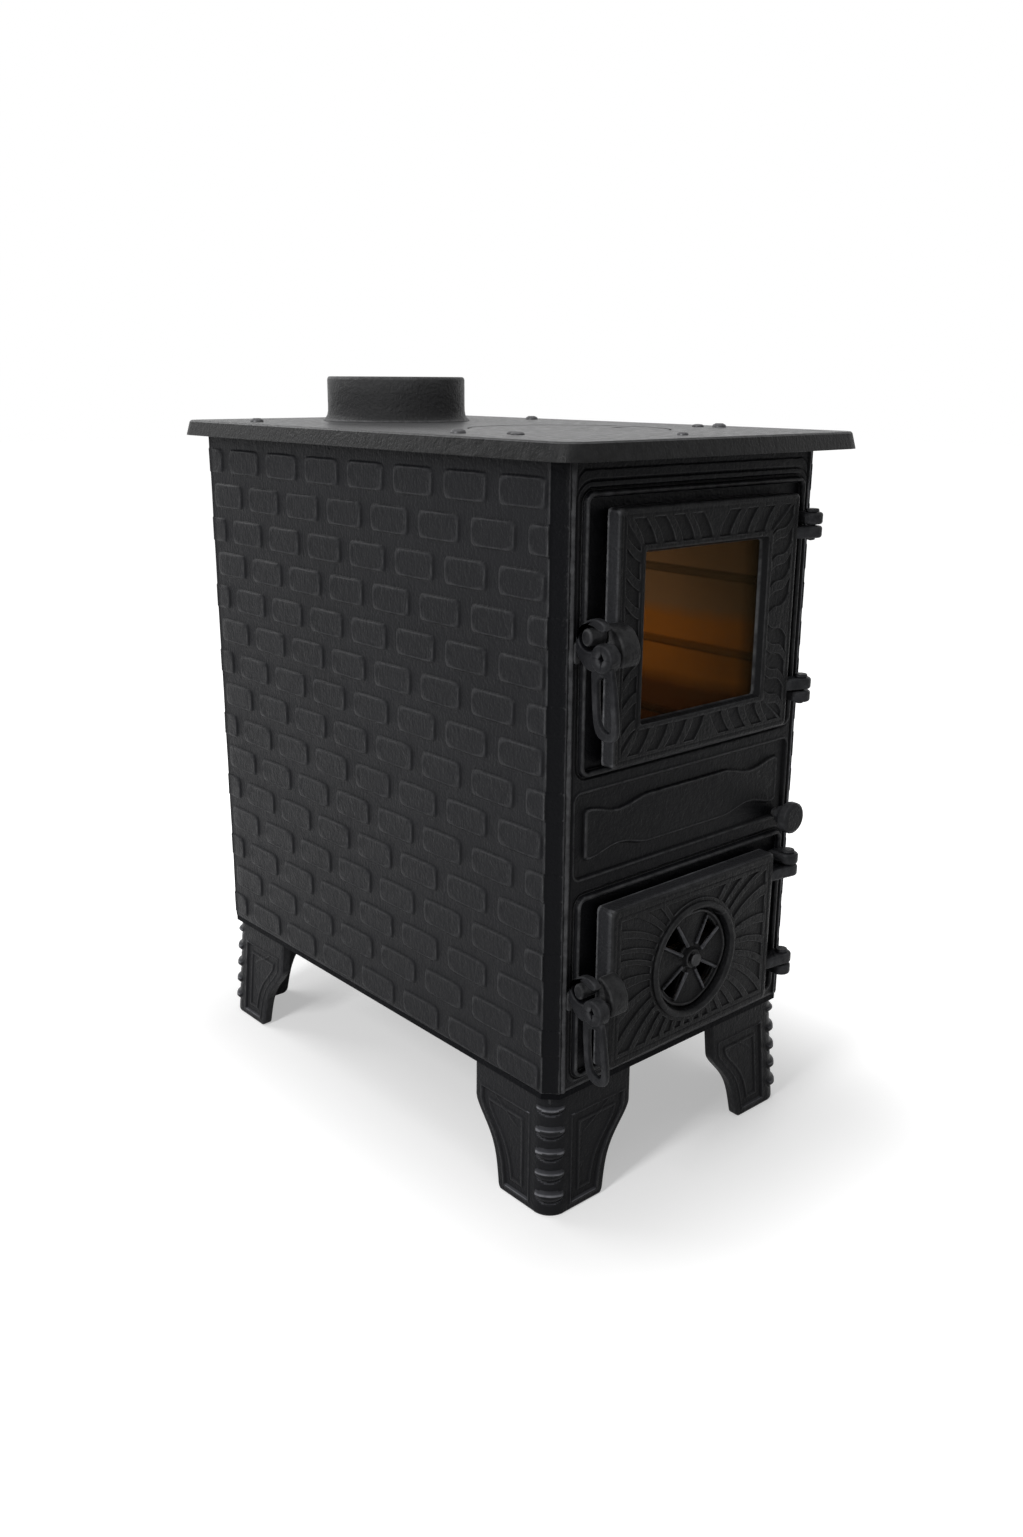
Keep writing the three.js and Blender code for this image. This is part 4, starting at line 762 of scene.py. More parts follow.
def knuckle(name, key, body, outline):
    """One knuckle of a pair, 11 mm high and 0.8 mm clear of the pair's middle."""
    z, plate_above = PAIRS[key]
    span = (0.8, 11.8) if plate_above == (body == "stove") else (-11.8, -0.8)
    mesh = slab(name, outline, z + span[0], z + span[1], "z", 2.4, 4)
    new_piece(mesh, body, "front_iron", "fitting_iron")


class STOVE_OT_front(bpy.types.Operator):
    """Front casting: beads, sunk panel with its plaque, plate knuckles and keepers"""

    bl_idname = "stove.front"
    bl_label = "Front casting"

    def execute(self, context):
        sizes = context.scene.stove_sizes
        mesh = front_sheet(sizes.bead_rise * 1000, sizes.uneven * 1000)
        piece = new_piece(mesh, "stove", "front_iron", "plate_iron")
        give_wall(piece, 0.006)
        # The round bar along the hinge side takes paint eight times lighter: a painted highlight
        # down it.
        paint_faces(piece, lambda x, y, z: x > 152.6, "edge_highlight")
        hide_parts("front_plate")
        hx, hy = HINGE
        for key in PAIRS:
            knuckle("plate_knuckle_" + key, key, "stove", np.concatenate([
                arc(hx, hy, 10, 180, 360, 20), [[hx + 10, FRONT + 1], [hx - 10, FRONT + 1]]]))
        turn = np.linspace(0, 2 * math.pi, 40, endpoint=False)
        for key, z in LATCH_Z.items():
            peg = [LATCH_Y + 16.2 + 6.0 * np.cos(turn), z + 15.6 + 7.4 * np.sin(turn)]
            for name, outline, lo, hi, axis, bevel, steps in (
                    ("_striker_pad", rect_ring(-153, -147, z - 9, z + 9, 2.5, 6),
                     FRONT - 4.0, FRONT + 2, "y", 0.5, 2),
                    ("_keeper", np.stack(peg, -1), -153.8, -134, "x", 2.4, 4),
                    ("_keeper_web", rect_ring(LATCH_Y + 13, FRONT + 1, z + 10, z + 20, 2, 6),
                     -143.2, -135, "x", 0.8, 2)):
                mesh = slab(key + name, outline, lo, hi, axis, bevel, steps)
                new_piece(mesh, "stove", "front_iron", "plate_iron")
        return {"FINISHED"}


# ------------------------------------------------------------------ legs
def leg_width(z):
    """Width of a leg's flange at height z: 70 mm at the floor, an ogee up to 105 mm at
    84.7 mm, and the free corner at the floor rounded."""
    t = np.clip(z / 84.7, 0, 1)
    ease = 0.3 * t + 0.7 * (0.5 - 0.5 * np.cos(math.pi * t ** 2.2))
    corner = 6 - np.sqrt(np.clip(36 - np.clip(6 - z, 0, 6) ** 2, 0, 36))
    return 70 + 35 * ease - corner


def leg_bands(height, across):
    """Bands on the corner, bent up at their ends: each has its crest under a short
    upper slope, falls back over 6 mm to a groove, and thins out along the flanges."""
    total = np.zeros_like(height)
    for k, middle in enumerate((106.5, 84.2, 62.2, 40.6, 19.2)):
        half = (3.6 if k == 0 else 5.6) * np.sqrt(np.clip(1 - across ** 2, 0, 1)) + 1e-6
        over = height - middle - 2.6 * across ** 2
        total += smooth((half + 0.9 - over) / 3.4) * smooth((half + over + 0.8) / 6.0)
        total -= 0.32 * bell(half + over + 0.5, 0.9)
    return 3.9 * total * smooth((1 - across) / 0.3)


def leg_points():
    """Ring of outer and inner skin for each height, local to the outer corner: front
    flange, rounded corner, side flange, inner faces. The foot stands 7 mm further out."""
    top, r, wall = 120.7, 19.0, 9.0
    z = lines(0, top, 1.0, [(0, 4)], 0.5)
    a = np.concatenate([np.linspace(0, 0.06, 5)[:-1], np.linspace(0.06, 1, 62)])
    w = leg_width(z)[None, :]
    zz = np.broadcast_to(z, (len(a), len(z)))
    reach = (1 - a)[:, None] * (w - r) + r  # distance of a flange point from the corner
    edge = a[:, None] * (w - r)  # distance from the free edge
    panel = np.minimum(np.minimum(edge - 11, zz - 9), np.minimum(reach - 28, 96 - zz))
    relief = 1.5 * smooth(1 - (panel + 1) / 2.0) + 0.8 * bell(panel + 1.6, 1.0)
    relief += 1.2 * round_bar(panel - 9.5, 1.8)
    slash = np.clip(1 - (np.abs((reach - 46) * 0.62 - (zz - 76)) / 1.6) ** 2, 0, 1)
    relief += 0.8 * slash * smooth((reach - 44) / 4) * smooth((78 - reach) / 4)
    relief -= 1.6 * np.clip(1 - np.minimum(edge, zz) / 2.2, 0, 1) ** 2
    turn = np.linspace(0, math.pi / 2, 33)[1:-1, None]
    up = np.broadcast_to(z, (len(turn), len(z)))
    aside = np.clip(np.abs(turn / (math.pi / 4) - 1) * np.ones_like(up), 0, 1)
    out = r + (1.5 + leg_bands(up, aside) - 1.3 * np.clip(1 - up / 2.2, 0, 1) ** 2)
    w, floor = w - 0.4, z[None, :]
    square = np.full((1, len(z)), wall)
    ring = np.concatenate([np.stack(v, -1) for v in (
        (reach, -relief, zz), (r - out * np.sin(turn), r - out * np.cos(turn), up),
        (-relief[::-1], reach[::-1], zz[::-1]),
        (square, w, floor), (square, square, floor), (w, square, floor))])
    ring[..., :2] -= ((top - ring[..., 2]) * 7 / top)[..., None]
    return ring


class STOVE_OT_legs(bpy.types.Operator):
    """Splayed legs with a raised border, an inner panel and bands across the corner"""

    bl_idname = "stove.legs"
    bl_label = "Legs"

    def execute(self, context):
        ring = leg_points() + [-(HALF - 5), -280, 0]
        for name, sx, sy in (("front_left", 1, 1), ("front_right", -1, 1),
                             ("rear_right", -1, -1), ("rear_left", 1, -1)):
            placed = ring * [sx, sy, 1] + [0, SHIFT, 0]
            mesh = skin("leg_casting_" + name, placed, caps=(True, True))
            piece = new_piece(mesh, "stove", "side_iron")
            # Up-facing slopes of the corner bands and of the foot take a paint over three times
            # lighter: a painted highlight where light from above falls.
            rising = of_faces(mesh, "normal")[2] > 0.36
            paint_faces(piece, lambda x, y, z: rising & (z < 112) & ((z < 16) | (
                (np.abs(x) > HALF - 33) & (np.abs(y - SHIFT) > 252))), "crest_highlight_iron")
            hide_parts("leg_" + name)
            plan = np.array([[3, 3], [65, 3], [65, 36], [36, 65], [3, 65]]) - [HALF - 5, 280]
            new_piece(slab("leg_tab_" + name, plan * [sx, sy] + [0, SHIFT], 113.7, 120.6,
                           "z", 0.6, 1), "stove", "side_iron")
        return {"FINISHED"}


# ------------------------------------------------------------------ hob
def dome(name, x, y, radius, rise):
    """A low round head on the hob."""
    z = HOB_TOP
    profile = [(0, z - 1), (radius, z - 1), (radius, z + rise * 0.35),
               (radius * 0.86, z + rise * 0.72), (radius * 0.6, z + rise * 0.92), (0, z + rise)]
    new_piece(turned(name, profile, (x, y, 0), "z", 24), "stove", "steel")


class STOVE_OT_hob(bpy.types.Operator):
    """Hob plate with its turned-down rim, loose lid, flue collar and screws"""

    bl_idname = "stove.hob"
    bl_label = "Hob"

    def execute(self, context):
        rounded_copy("hob_plate", 1.6, 3, "hob_iron")
        rounded_copy("hob_lid", 0.7, 2, "hob_iron")
        mesh = turned("flue_collar_cast", [
            (66, 754.3), (66, 696), (69, 696), (69, 708.3), (80.5, 708.3), (79.6, 709.6),
            (77.6, 711.4), (76, 714), (75.2, 718), (75, 724), (75, 750.6), (74.6, 752.6),
            (73.4, 754), (71.8, 754.3), (66, 754.3)], (0, 158 + SHIFT, 0), "z", 128)
        piece = new_piece(mesh, "stove", "hob_iron", "collar_iron")
        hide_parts("flue_collar")
        for k, (x, y) in enumerate(SCREWS):
            dome(f"hob_screw_head_{k + 1}", x, y, 7, 3.6)
            dress(f"hob_screw_{k + 1}")
        for k, (x, y, r) in enumerate(
                ((-127, -181, 6), (-133, -193, 6), (-17, -276, 5), (146, -152, 6))):
            dome(f"hob_rivet_{k + 1}", x, y + SHIFT, r, 2.6)
        return {"FINISHED"}


# ------------------------------------------------------------------ doors
def cells(along, across, width, lean, curl):
    """Cells between slanted bars, 1 in a cell and 0 on a bar. The bars lie on whole
    pitches of |along| - lean * width * (1 - t)^1.5, t running from outer to inner
    end; curl adds one sine wave to each."""
    pitch, bar, wall = 24.0, 8.6, 1.1
    t = np.clip(across / width, 0, 1)
    phase = np.abs(along) - lean * width * (1 - t) ** 1.5 + curl * np.sin(2 * math.pi * t)
    off = np.mod(phase, pitch)
    off = np.minimum(off, pitch - off)
    inside = smooth((off - bar / 2) / wall) * (phase > 0)
    return inside * smooth(across / wall) * smooth((width - across) / wall)


def fire_door_relief(x, z, cut):
    """Carved band of the fire door: cells cut into each rail, between bars that lean
    away from the rail's middle, and a fine line near the door's edge."""
    x0, x1, z0, z1 = UPPER
    rails = ((x - x0, z - 541, 31.4, 0.75, 0.0), (x1 - x, z - 541, 44.0, 0.55, 2.6),
             (z - z0, x - 2, 35.4, 0.60, 0.0), (z1 - z, x - 2, 36.5, 0.60, 0.0))
    share = np.stack([d / wide for d, along, wide, lean, curl in rails])
    nearest = np.argmin(share, 0)
    ordered = np.sort(share, 0)
    mitre = smooth((ordered[1] - ordered[0]) / 0.10)
    total = np.zeros_like(x)
    outer = 8.6  # width of the plain edge
    for k, (d, along, wide, lean, curl) in enumerate(rails):
        part = cells(along, d - outer, (wide - 5.2) - outer, lean, curl)
        total = total - np.where(nearest == k, cut * part * mitre, 0)
    edge = np.min(np.stack([rail[0] for rail in rails]), 0)
    return total - 0.5 * bell(edge - 5.6, 0.8)


def fire_door_rows(cut, uneven):
    """Rings of points from the back of the door's rim round its rounded edge, over the
    carved face, the raised lip and the bevel to the pane, and back."""
    x0, x1, z0, z1 = UPPER
    n, r = 280, 3.2
    outer = rect_ring(x0, x1, z0, z1, 4, n)
    face, pane = rect_ring(*WINDOW, 3, n), rect_ring(*PANE, 3, n)
    back_in = rect_ring(x0 + 6, x1 - 6, z0 + 6, z1 - 6, 3, n)
    span = np.minimum(np.hypot(*(face - outer).T), 60)[:, None]
    rows = [level(outer, y) for y in np.linspace(DOOR_BACK, UPPER_FACE + r, 7)]
    for a in np.linspace(0, math.pi / 2, 7)[1:]:
        inset = r * (1 - math.cos(a))
        rows.append(level(outer + (face - outer) * inset / span,
                          UPPER_FACE + r - r * math.sin(a)))
    lip = 1.5 / 33  # the rounded inner edge's share of the face
    for f in np.linspace(r / 33, 1 - lip, 52)[1:]:
        ring = outer + (face - outer) * f
        h = fire_door_relief(*ring.T, cut) + 0.9 * smooth((f - 0.84) / 0.06)
        rows.append(level(ring, (UPPER_FACE - (h + uneven * waviness(*ring.T, 2.2)))[:, None]))
    for a in np.linspace(0, math.pi / 2, 5)[1:]:
        f = 1 - lip + lip * math.sin(a)
        rows.append(level(outer + (face - outer) * f, UPPER_FACE - 0.9 + 1.5 * (1 - math.cos(a))))
    for t in (0.35, 0.7, 1.0):
        rows.append(level(face + (pane - face) * t, UPPER_FACE + 0.6 + 5.2 * t))
    return rows + [level(back_in, UPPER_FACE + 6), level(back_in, DOOR_BACK)]


class STOVE_OT_fire_door(bpy.types.Operator):
    """Fire door: carved frame, lug, knuckle arms, window glass, strips and rope"""

    bl_idname = "stove.fire_door"
    bl_label = "Fire door"

    def execute(self, context):
        sizes = context.scene.stove_sizes
        rows = fire_door_rows(sizes.carving * 1000, sizes.uneven * 1000)
        mesh = skin("fire_door_casting", np.stack(rows, 1), wrap=(True, True))
        piece = new_piece(mesh, "fire_door", "front_iron")
        x0, x1, z0, z1 = UPPER
        # The rim faces round the door's edge take a paint three times lighter: painted light on
        # them.
        paint_faces(piece, lambda x, y, z: (np.minimum(np.minimum(x - x0, x1 - x), z - z0) < 0.9)
            & (y > UPPER_FACE + 1))
        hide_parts("fire_door")
        door_fittings("upper", "fire_door", x1, UPPER_FACE)
        for node in ("door_glass", "glass_strip_top", "glass_strip_bottom"):
            dress(node)
        rope("fire_door", UPPER)
        return {"FINISHED"}


def rope(door, box):
    """Rope seal: an oval section carried about the door's rim."""
    x0, x1, z0, z1 = box
    path, inner = (rect_ring(x0 + m, x1 - m, z0 + m, z1 - m, 6, 60) for m in (4.6, 5.6))
    out = path - inner
    out /= np.maximum(np.linalg.norm(out, axis=1, keepdims=True), 1e-9)
    a = np.linspace(0, 2 * math.pi, 12, endpoint=False)
    flat = path[:, None, :] + out[:, None, :] * (2.7 * np.cos(a))[None, :, None]
    y = np.broadcast_to(DOOR_BACK + 1.8 + 1.5 * np.sin(a), flat.shape[:2])
    mesh = skin(door + "_rope", np.stack([flat[..., 0], y, flat[..., 1]], -1), wrap=(True, True))
    piece = new_piece(mesh, door, "rope")
    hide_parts(door + "_gasket")


def door_fittings(key, body, right, face):
    """Knuckle arms on the hinge side and the latch lug on the free edge."""
    for end in ("top", "foot"):
        knuckle(f"{key}_door_knuckle_{end}", f"{key}_{end}", body, np.concatenate([
            [[right - 3, face + 0.4]], arc(*HINGE, 10, 265, 450, 22),
            [[right - 3, DOOR_BACK - 2]]]))
    z = LATCH_Z[key]
    nose, back = LATCH_Y - 6.8, face + 1
    side = [[back, z - 11], [nose + 4, z - 10], [nose + 2.2, z - 8.6], [nose + 1.0, z - 6.4],
            [nose, z - 1], [nose + 0.3, z + 5], [nose + 2.2, z + 11], [nose + 5.5, z + 16.5],
            [nose + 10.5, z + 21.5], [back - 1, z + 24.5], [back, z + 25]]
    new_piece(slab(key + "_latch_lug", rounded_line(side, 2), -132.8, -111.8, "x", 2.2, 4),
              body, "front_iron")


def ash_door_relief(x, z, cut):
    """Cells between bars that spring from the ring like the jets of a fountain: a bar
    starts at a multiple of 11.2 degrees and falls by 0.0048 (radius - 59)^2, those
    near the level a little lifted. A fine line runs inside the door's edge."""
    x0, x1, z0, z1 = LOWER
    dx, dz = x - SPIN[0], z - SPIN[1]
    radius = np.hypot(dx, dz)
    run = np.clip(radius - 59, 0, None)
    angle = np.arctan2(dz, np.abs(dx))
    for _ in range(3):
        lift = 0.35 * bell(np.degrees(angle) - np.where(dx < 0, 8, 28), 14)
        angle = np.arctan2(dz + 0.0048 * run ** 2 - lift * run, np.abs(dx))
    phase = np.degrees(angle) / 11.2
    off = np.radians(np.abs(phase - np.round(phase)) * 11.2) * radius
    bars = np.maximum(smooth((off - 2.3 - 0.028 * run) / 1.0), (phase > 5.4) * 1.0)
    border = np.minimum(np.minimum(x - x0, x1 - x), np.minimum(z - z0, z1 - z))
    field = smooth((border - 13) / 1.1) * smooth((radius - 61.5) / 1.1)
    return -cut * bars * field - 0.5 * bell(border - 8.6, 0.8)


def ash_door_rows(cut, uneven):
    """Rings of points from the back of the door's rim round its rounded edge, over the
    carved face and the ring, through the throat and its web, and back."""
    x0, x1, z0, z1 = LOWER
    n, r, centre = 240, 5.2, np.array(SPIN)
    crest, half, rise = 54.9, 3.5, 3.3  # the ring: radius, half width and height
    outer = rect_ring(x0, x1, z0, z1, 4, n)
    back_in = rect_ring(x0 + 6, x1 - 6, z0 + 6, z1 - 6, 3, n)
    way = rect_ring(x0, x1, z0, z1, 0.01, n) - centre
    way /= np.linalg.norm(way, axis=1, keepdims=True)
    foot = centre + way * (crest + half)
    span = np.hypot(*(foot - outer).T)[:, None]
    rows = [level(outer, y) for y in np.linspace(DOOR_BACK, LOWER_FACE + r, 9)]
    for a in np.linspace(0, math.pi / 2, 7)[1:]:
        rows.append(level(outer + (foot - outer) / span * r * (1 - math.cos(a)),
                          LOWER_FACE + r - r * math.sin(a)))
    start = r / span
    for t in np.linspace(0, 1, 66)[1:]:
        ring = outer + (foot - outer) * (start + (1 - start) * t)
        h = ash_door_relief(*ring.T, cut) + uneven * waviness(*ring.T, 3.1)
        rows.append(level(ring, (LOWER_FACE - h)[:, None]))
    for a in np.linspace(0, math.pi, 15)[1:]:
        rows.append(level(centre + way * (crest + half * math.cos(a)),
                          LOWER_FACE - rise * math.sin(a)))
    web = LOWER_FACE + 9.9
    for y in np.linspace(LOWER_FACE, web, 5)[1:]:
        rows.append(level(centre + way * THROAT, y))
    for ring, y in ((centre + way * 56, web), (centre + way * 56, LOWER_FACE + 6),
                    (back_in, LOWER_FACE + 6), (back_in, DOOR_BACK)):
        rows.append(level(ring, y))
    return rows


class STOVE_OT_ash_door(bpy.types.Operator):
    """Ash door: fluted face with a ring about the spinner, collar, lug and rope"""

    bl_idname = "stove.ash_door"
    bl_label = "Ash door"

    def execute(self, context):
        sizes = context.scene.stove_sizes
        rows = ash_door_rows(sizes.carving * 1000, sizes.uneven * 1000)
        mesh = skin("ash_door_casting", np.stack(rows, 1), wrap=(True, True))
        piece = new_piece(mesh, "ash_door", "front_iron")
        x0, x1, z0, z1 = LOWER
        # The rim faces round the door's edge take a paint three times lighter: painted light on
        # them.
        paint_faces(piece, lambda x, y, z: (np.minimum(np.minimum(x - x0, x1 - x), z1 - z) < 1.6)
            & (y > LOWER_FACE + 1.5))
        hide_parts("ash_door")
        door_fittings("lower", "ash_door", x1, LOWER_FACE)
        rounded_copy("damper_seat", 0.5, 2, "front_iron")
        rope("ash_door", LOWER)
        return {"FINISHED"}


# ------------------------------------------------------------------ spinner and latches
def petal_height(r, a):
    """Face of the spinner: each petal is creased along its middle, its edges by the
    ports carry round ribs, and the hub is a low dome with a collar."""
    off = np.abs(np.degrees(a) % 90 - 45)
    aside = np.radians(45 - off) * r
    h = 1.7 * np.clip(1 - aside / 22, 0, 1) * smooth((r - 6) / 8)
    rib = np.radians(off - PORT[2]) * r - 2.0
    along = smooth((r - PORT[0] + 3) / 3) * smooth((PORT[1] + 3 - r) / 3)
    h = h + 2.9 * round_bar(rib, 1.9) * along
    h = h + 1.4 * round_bar(r - 47.2, 1.9)
    return h + 4.6 * smooth((11.5 - r) / 3.2)


def petal_sheet():
    """Quads over rings and spokes of the disc, the cells of the four ports left out."""
    radius = np.concatenate([[0.4], lines(2, 49.2, 1.4, [(7, 10.5), (42, 46)], 0.5), PORT[:2]])
    radius = np.unique(radius)
    a, r = np.meshgrid(np.radians(np.arange(0, 360, 1.0)), radius, indexing="ij")
    co = np.stack([SPIN[0] + r * np.cos(a), LOWER_FACE + 5.8 - petal_height(r, a),
                   SPIN[1] + r * np.sin(a)], -1).reshape(-1, 3)
    n = len(radius)
    i, j = np.meshgrid(np.arange(360), np.arange(n - 1), indexing="ij")
    middle = (radius[j] + radius[j + 1]) / 2
    off = np.abs((i + 0.5) % 90 - 45)
    keep = (off > PORT[2]) | (middle < PORT[0]) | (middle > PORT[1])
    i, j = i[keep], j[keep]
    i2 = (i + 1) % 360
    return sheet("spinner_petals", co, np.stack(
        [i * n + j, i * n + j + 1, i2 * n + j + 1, i2 * n + j], -1))


class STOVE_OT_spinner(bpy.types.Operator):
    """Spinner damper: creased petals, raised port edges, hub and bolt"""

    bl_idname = "stove.spinner"
    bl_label = "Spinner damper"

    def execute(self, context):
        piece = new_piece(petal_sheet(), "spinner", "front_iron")
        give_wall(piece, 0.0028)
        # The crests of the ribs by the ports take a paint over three times lighter: a painted
        # highlight along them.
        paint_faces(piece, lambda x, y, z: (y < LOWER_FACE + 3.9) & (
            np.abs(np.hypot(x - SPIN[0], z - SPIN[1]) - 29.5) < 15), "crest_highlight_iron")
        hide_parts("spinner_disc")
        rounded_copy("spinner_bolt", 0.6, 2, "front_iron")
        rounded_copy("spinner_nut", 0.5, 2, "steel")
        return {"FINISHED"}


def resampled(outline, count, start):
    """count points evenly round a closed outline, from its point nearest to start."""
    outline = np.asarray(outline, float)
    first = np.argmin(np.linalg.norm(outline - start, axis=1))
    outline = np.roll(outline, -first, 0)
    closed = np.concatenate([outline, outline[:1]])
    way = np.concatenate([[0], np.cumsum(np.linalg.norm(np.diff(closed, axis=0), axis=1))])
    at = np.linspace(0, way[-1], count, endpoint=False)
    return np.stack([np.interp(at, way, closed[:, k]) for k in (0, 1)], -1)


# Side view of a lever about its pivot, as (y, z); the closed hook points to the rear.
GRIP = [(13, -9), (12.6, -20), (11.0, -40), (9.0, -57), (4.8, -66.0), (-3, -69.4), (-11, -68.8),
        (-17, -65.2), (-18.8, -58), (-17.2, -42), (-14.8, -26), (-12.6, -14), (-10.6, -5), (0, 0)]
SLOT = [(4.6, -17.0), (5.0, -26), (3.9, -44), (1.9, -54.4), (-2.6, -59.6), (-8.4, -60.8),
        (-12.0, -57.6), (-11.2, -46), (-8.8, -30), (-6.6, -19), (-2.4, -15.4)]
HOOK = [(-3.4, 27.4), (1, 30.6), (8, 32.2), (15, 31), (21.8, 26.8), (27.4, 20.6), (30.4, 12.5),
        (30, 3), (24, -6.4), (15, -12), (6, -12), (2, -4), (4, 3), (10, 4.6), (17, 4.0),
        (22.6, 6.4), (26.2, 11), (27, 15.4), (25.8, 20), (21.2, 24.4), (15, 26), (9, 25),
        (4, 22.6), (-0.6, 22), (-3.6, 24)]


def loops(name, rows, caps=(False, False), closed=True):
    """A skin over rings, each a ring of (y, z) points at a depth x."""
    grid = np.stack([np.insert(ring, 0, x, axis=1) for ring, x in rows], 1)
    return skin(name, grid, wrap=(True, closed), caps=caps)


def lever_grip(name, place):
    """Slotted grip: a rounded bar between its outline and its slot's. The front half of
    its section runs from one to the other, and the rear half comes back."""
    outer = resampled(rounded_line(GRIP, 3), 120, (0, 0))
    slot = resampled(rounded_line(SLOT, 3), 120, (-3, -15.6))
    mid, half = (-151.8 - 145.2) / 2, 3.0
    turn = np.linspace(-math.pi / 2, math.pi / 2, 9)
    rows = []
    for near, far, way in ((outer, slot, turn), (slot, outer, turn[::-1])):
        for t in way:
            rows.append((near + (far - near) * 0.26 * (1 - math.cos(t)) + place,
                         mid - half * math.sin(t)))
    return loops(name, rows)


def lever_boss(name, place):
    """Round boss whose end has a lozenge hole: radii lerp from a circle to the lozenge
    1 / (|cos| / 2.9 + |sin| / 4.6)."""
    t = np.linspace(0, 2 * math.pi, 64, endpoint=False)
    circle = np.stack([np.cos(t), np.sin(t)], -1)
    lozenge = circle / (np.abs(circle[:, :1]) / 2.9 + np.abs(circle[:, 1:]) / 4.6)
    rows = [(circle * 12.3, -142.0), (circle * 12.3, -150.6)]
    for k in np.linspace(0, math.pi / 2, 6)[1:]:
        rows.append((circle * (10.1 + 2.2 * math.cos(k)), -150.6 - 2.4 * math.sin(k)))
    rows += [(circle * 7.4, -152.8), (lozenge * 1.2, -152.5), (lozenge, -151.2),
             (lozenge * 0.85, -148.0)]
    return loops(name, [(ring + place, x) for ring, x in rows], (True, True), False)


class STOVE_OT_latches(bpy.types.Operator):
    """Hooked drop levers with a slotted grip, their pins and the hinge pins"""

    bl_idname = "stove.latches"
    bl_label = "Latches and pins"

    def execute(self, context):
        for key, z in LATCH_Z.items():
            body, place = key + "_lever", (LATCH_Y, z)
            mesh = lever_grip(key + "_lever_grip", place)
            piece = new_piece(mesh, body, "front_iron", "fitting_iron")
            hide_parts(key + "_latch_lever")
            mesh = slab(key + "_lever_hook", rounded_line(HOOK, 2) + place, -152.3, -144.7,
                        "x", 1.7, 4)
            new_piece(mesh, body, "front_iron", "fitting_iron")
            mesh = lever_boss(key + "_lever_boss", place)
            new_piece(mesh, body, "front_iron", "fitting_iron")
            mesh = turned(key + "_pin_cast", [(0, -147.5), (4.2, -147.5), (4.2, -118), (0, -118)],
                          (0, *place), "x", 24)
            door = {"upper": "fire_door", "lower": "ash_door"}[key]
            piece = new_piece(mesh, door, "front_iron", "fitting_iron")
            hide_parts(key + "_latch_pin")
        for key in PAIRS:
            rounded_copy("hinge_pin_" + key, 0.8, 2, "fitting_iron")
        return {"FINISHED"}


class STOVE_OT_shaker(bpy.types.Operator):
    """Shaker knob, its rod and the moving grate"""

    bl_idname = "stove.shaker"
    bl_label = "Shaker"

    def execute(self, context):
        rounded_copy("shaker_knob", 1.6, 4, "fitting_iron")
        dress("shaker_rod")
        rounded_copy("shaker_grate", 0.8, 1, "inner_iron")
        return {"FINISHED"}


class STOVE_OT_inside(bpy.types.Operator):
    """Base, back, liners, grate, baffle, ash pan and bolts"""

    bl_idname = "stove.inside"
    bl_label = "Base, back and inside"

    def execute(self, context):
        rounded_copy("base_plate", 1.0, 2, "base_iron")
        rounded_copy("back_plate", 1.0, 2, "side_iron")
        for node in ("left_liner", "right_liner", "back_liner", "smoke_baffle", "grate_frame"):
            rounded_copy(node, 0.8, 1, "inner_iron")
        rounded_copy("ash_pan", 0.5, 1, "pan_steel")
        for corner in ("front_left", "front_right", "rear_right", "rear_left"):
            dress("leg_bolt_" + corner)
        return {"FINISHED"}


# ------------------------------------------------------------------ stage
CAMERA_PLACE = (-0.89129, -1.046045 + SHIFT * 0.001, 0.755535)
YAW, PITCH, ROLL = (math.radians(v) for v in (41.46, 16.74, 0.36))
FOCAL_PIXELS = 1304.4
FRAME_HEIGHT, SENSOR = 1537, 36
FLOOR_HALF = 14.0

# Name, place, aim, size, watts and colour.
LAMPS = (
    ("side_softbox", (-2.5, -0.55, 1.7), (0, 0, 0.4), (0.45, 1.7), 52, (1, 1, 1)),
    ("rear_softbox", (-0.9, 2.3, 2.1), (0, 0, 0.4), (1.8, 0.9), 27, (1, 1, 1)),
    ("top_softbox", (0.1, 0.2, 2.7), (0, 0, 0.4), (1.8, 1.8), 19, (1, 1, 1)),
    ("front_hood", (-0.2, -1.0, 2.2), (0, -0.3, 0.5), (1.2, 0.5), 2.2, (1, 1, 1)),
    ("chamber_glow", (-0.06, 0.0, 0.57), (0.15, 0.06, 0.46), (0.22, 0.22), 0.42,
     (1.0, 0.62, 0.30)),
)


def stand(name, data, place, right, up, back):
    """Links a camera or lamp at a place, looking away from back."""
    piece = bpy.data.objects.new(name, data)
    m = Matrix.Identity(4)
    for k in range(3):
        m[k] = right[k], up[k], back[k], place[k]
    piece.matrix_world = m
    bpy.context.scene.collection.objects.link(piece)
    return piece


def area_light(name, place, aim, size, watts, colour):
    """A soft box that faces its aim, level across."""
    lamp = bpy.data.lights.new(name, "AREA")
    lamp.shape = "RECTANGLE"
    lamp.size, lamp.size_y = size
    lamp.energy = watts
    lamp.color = colour
    back = np.array(place, float) - np.array(aim, float)
    back /= np.linalg.norm(back)
    across = np.cross([0, 0, 1], back)
    across /= np.linalg.norm(across)
    stand(name, lamp, place, across, np.cross(back, across), back)


def seen_directly(tree):
    """1 for what the camera sees, straight or in a gloss or through glass."""
    ray = add(tree, "LightPath", {})
    value = ray["Is Camera Ray"]
    for other in ("Is Glossy Ray", "Is Transmission Ray"):
        value = reckon(tree, "MAXIMUM", value, ray[other])
    return value


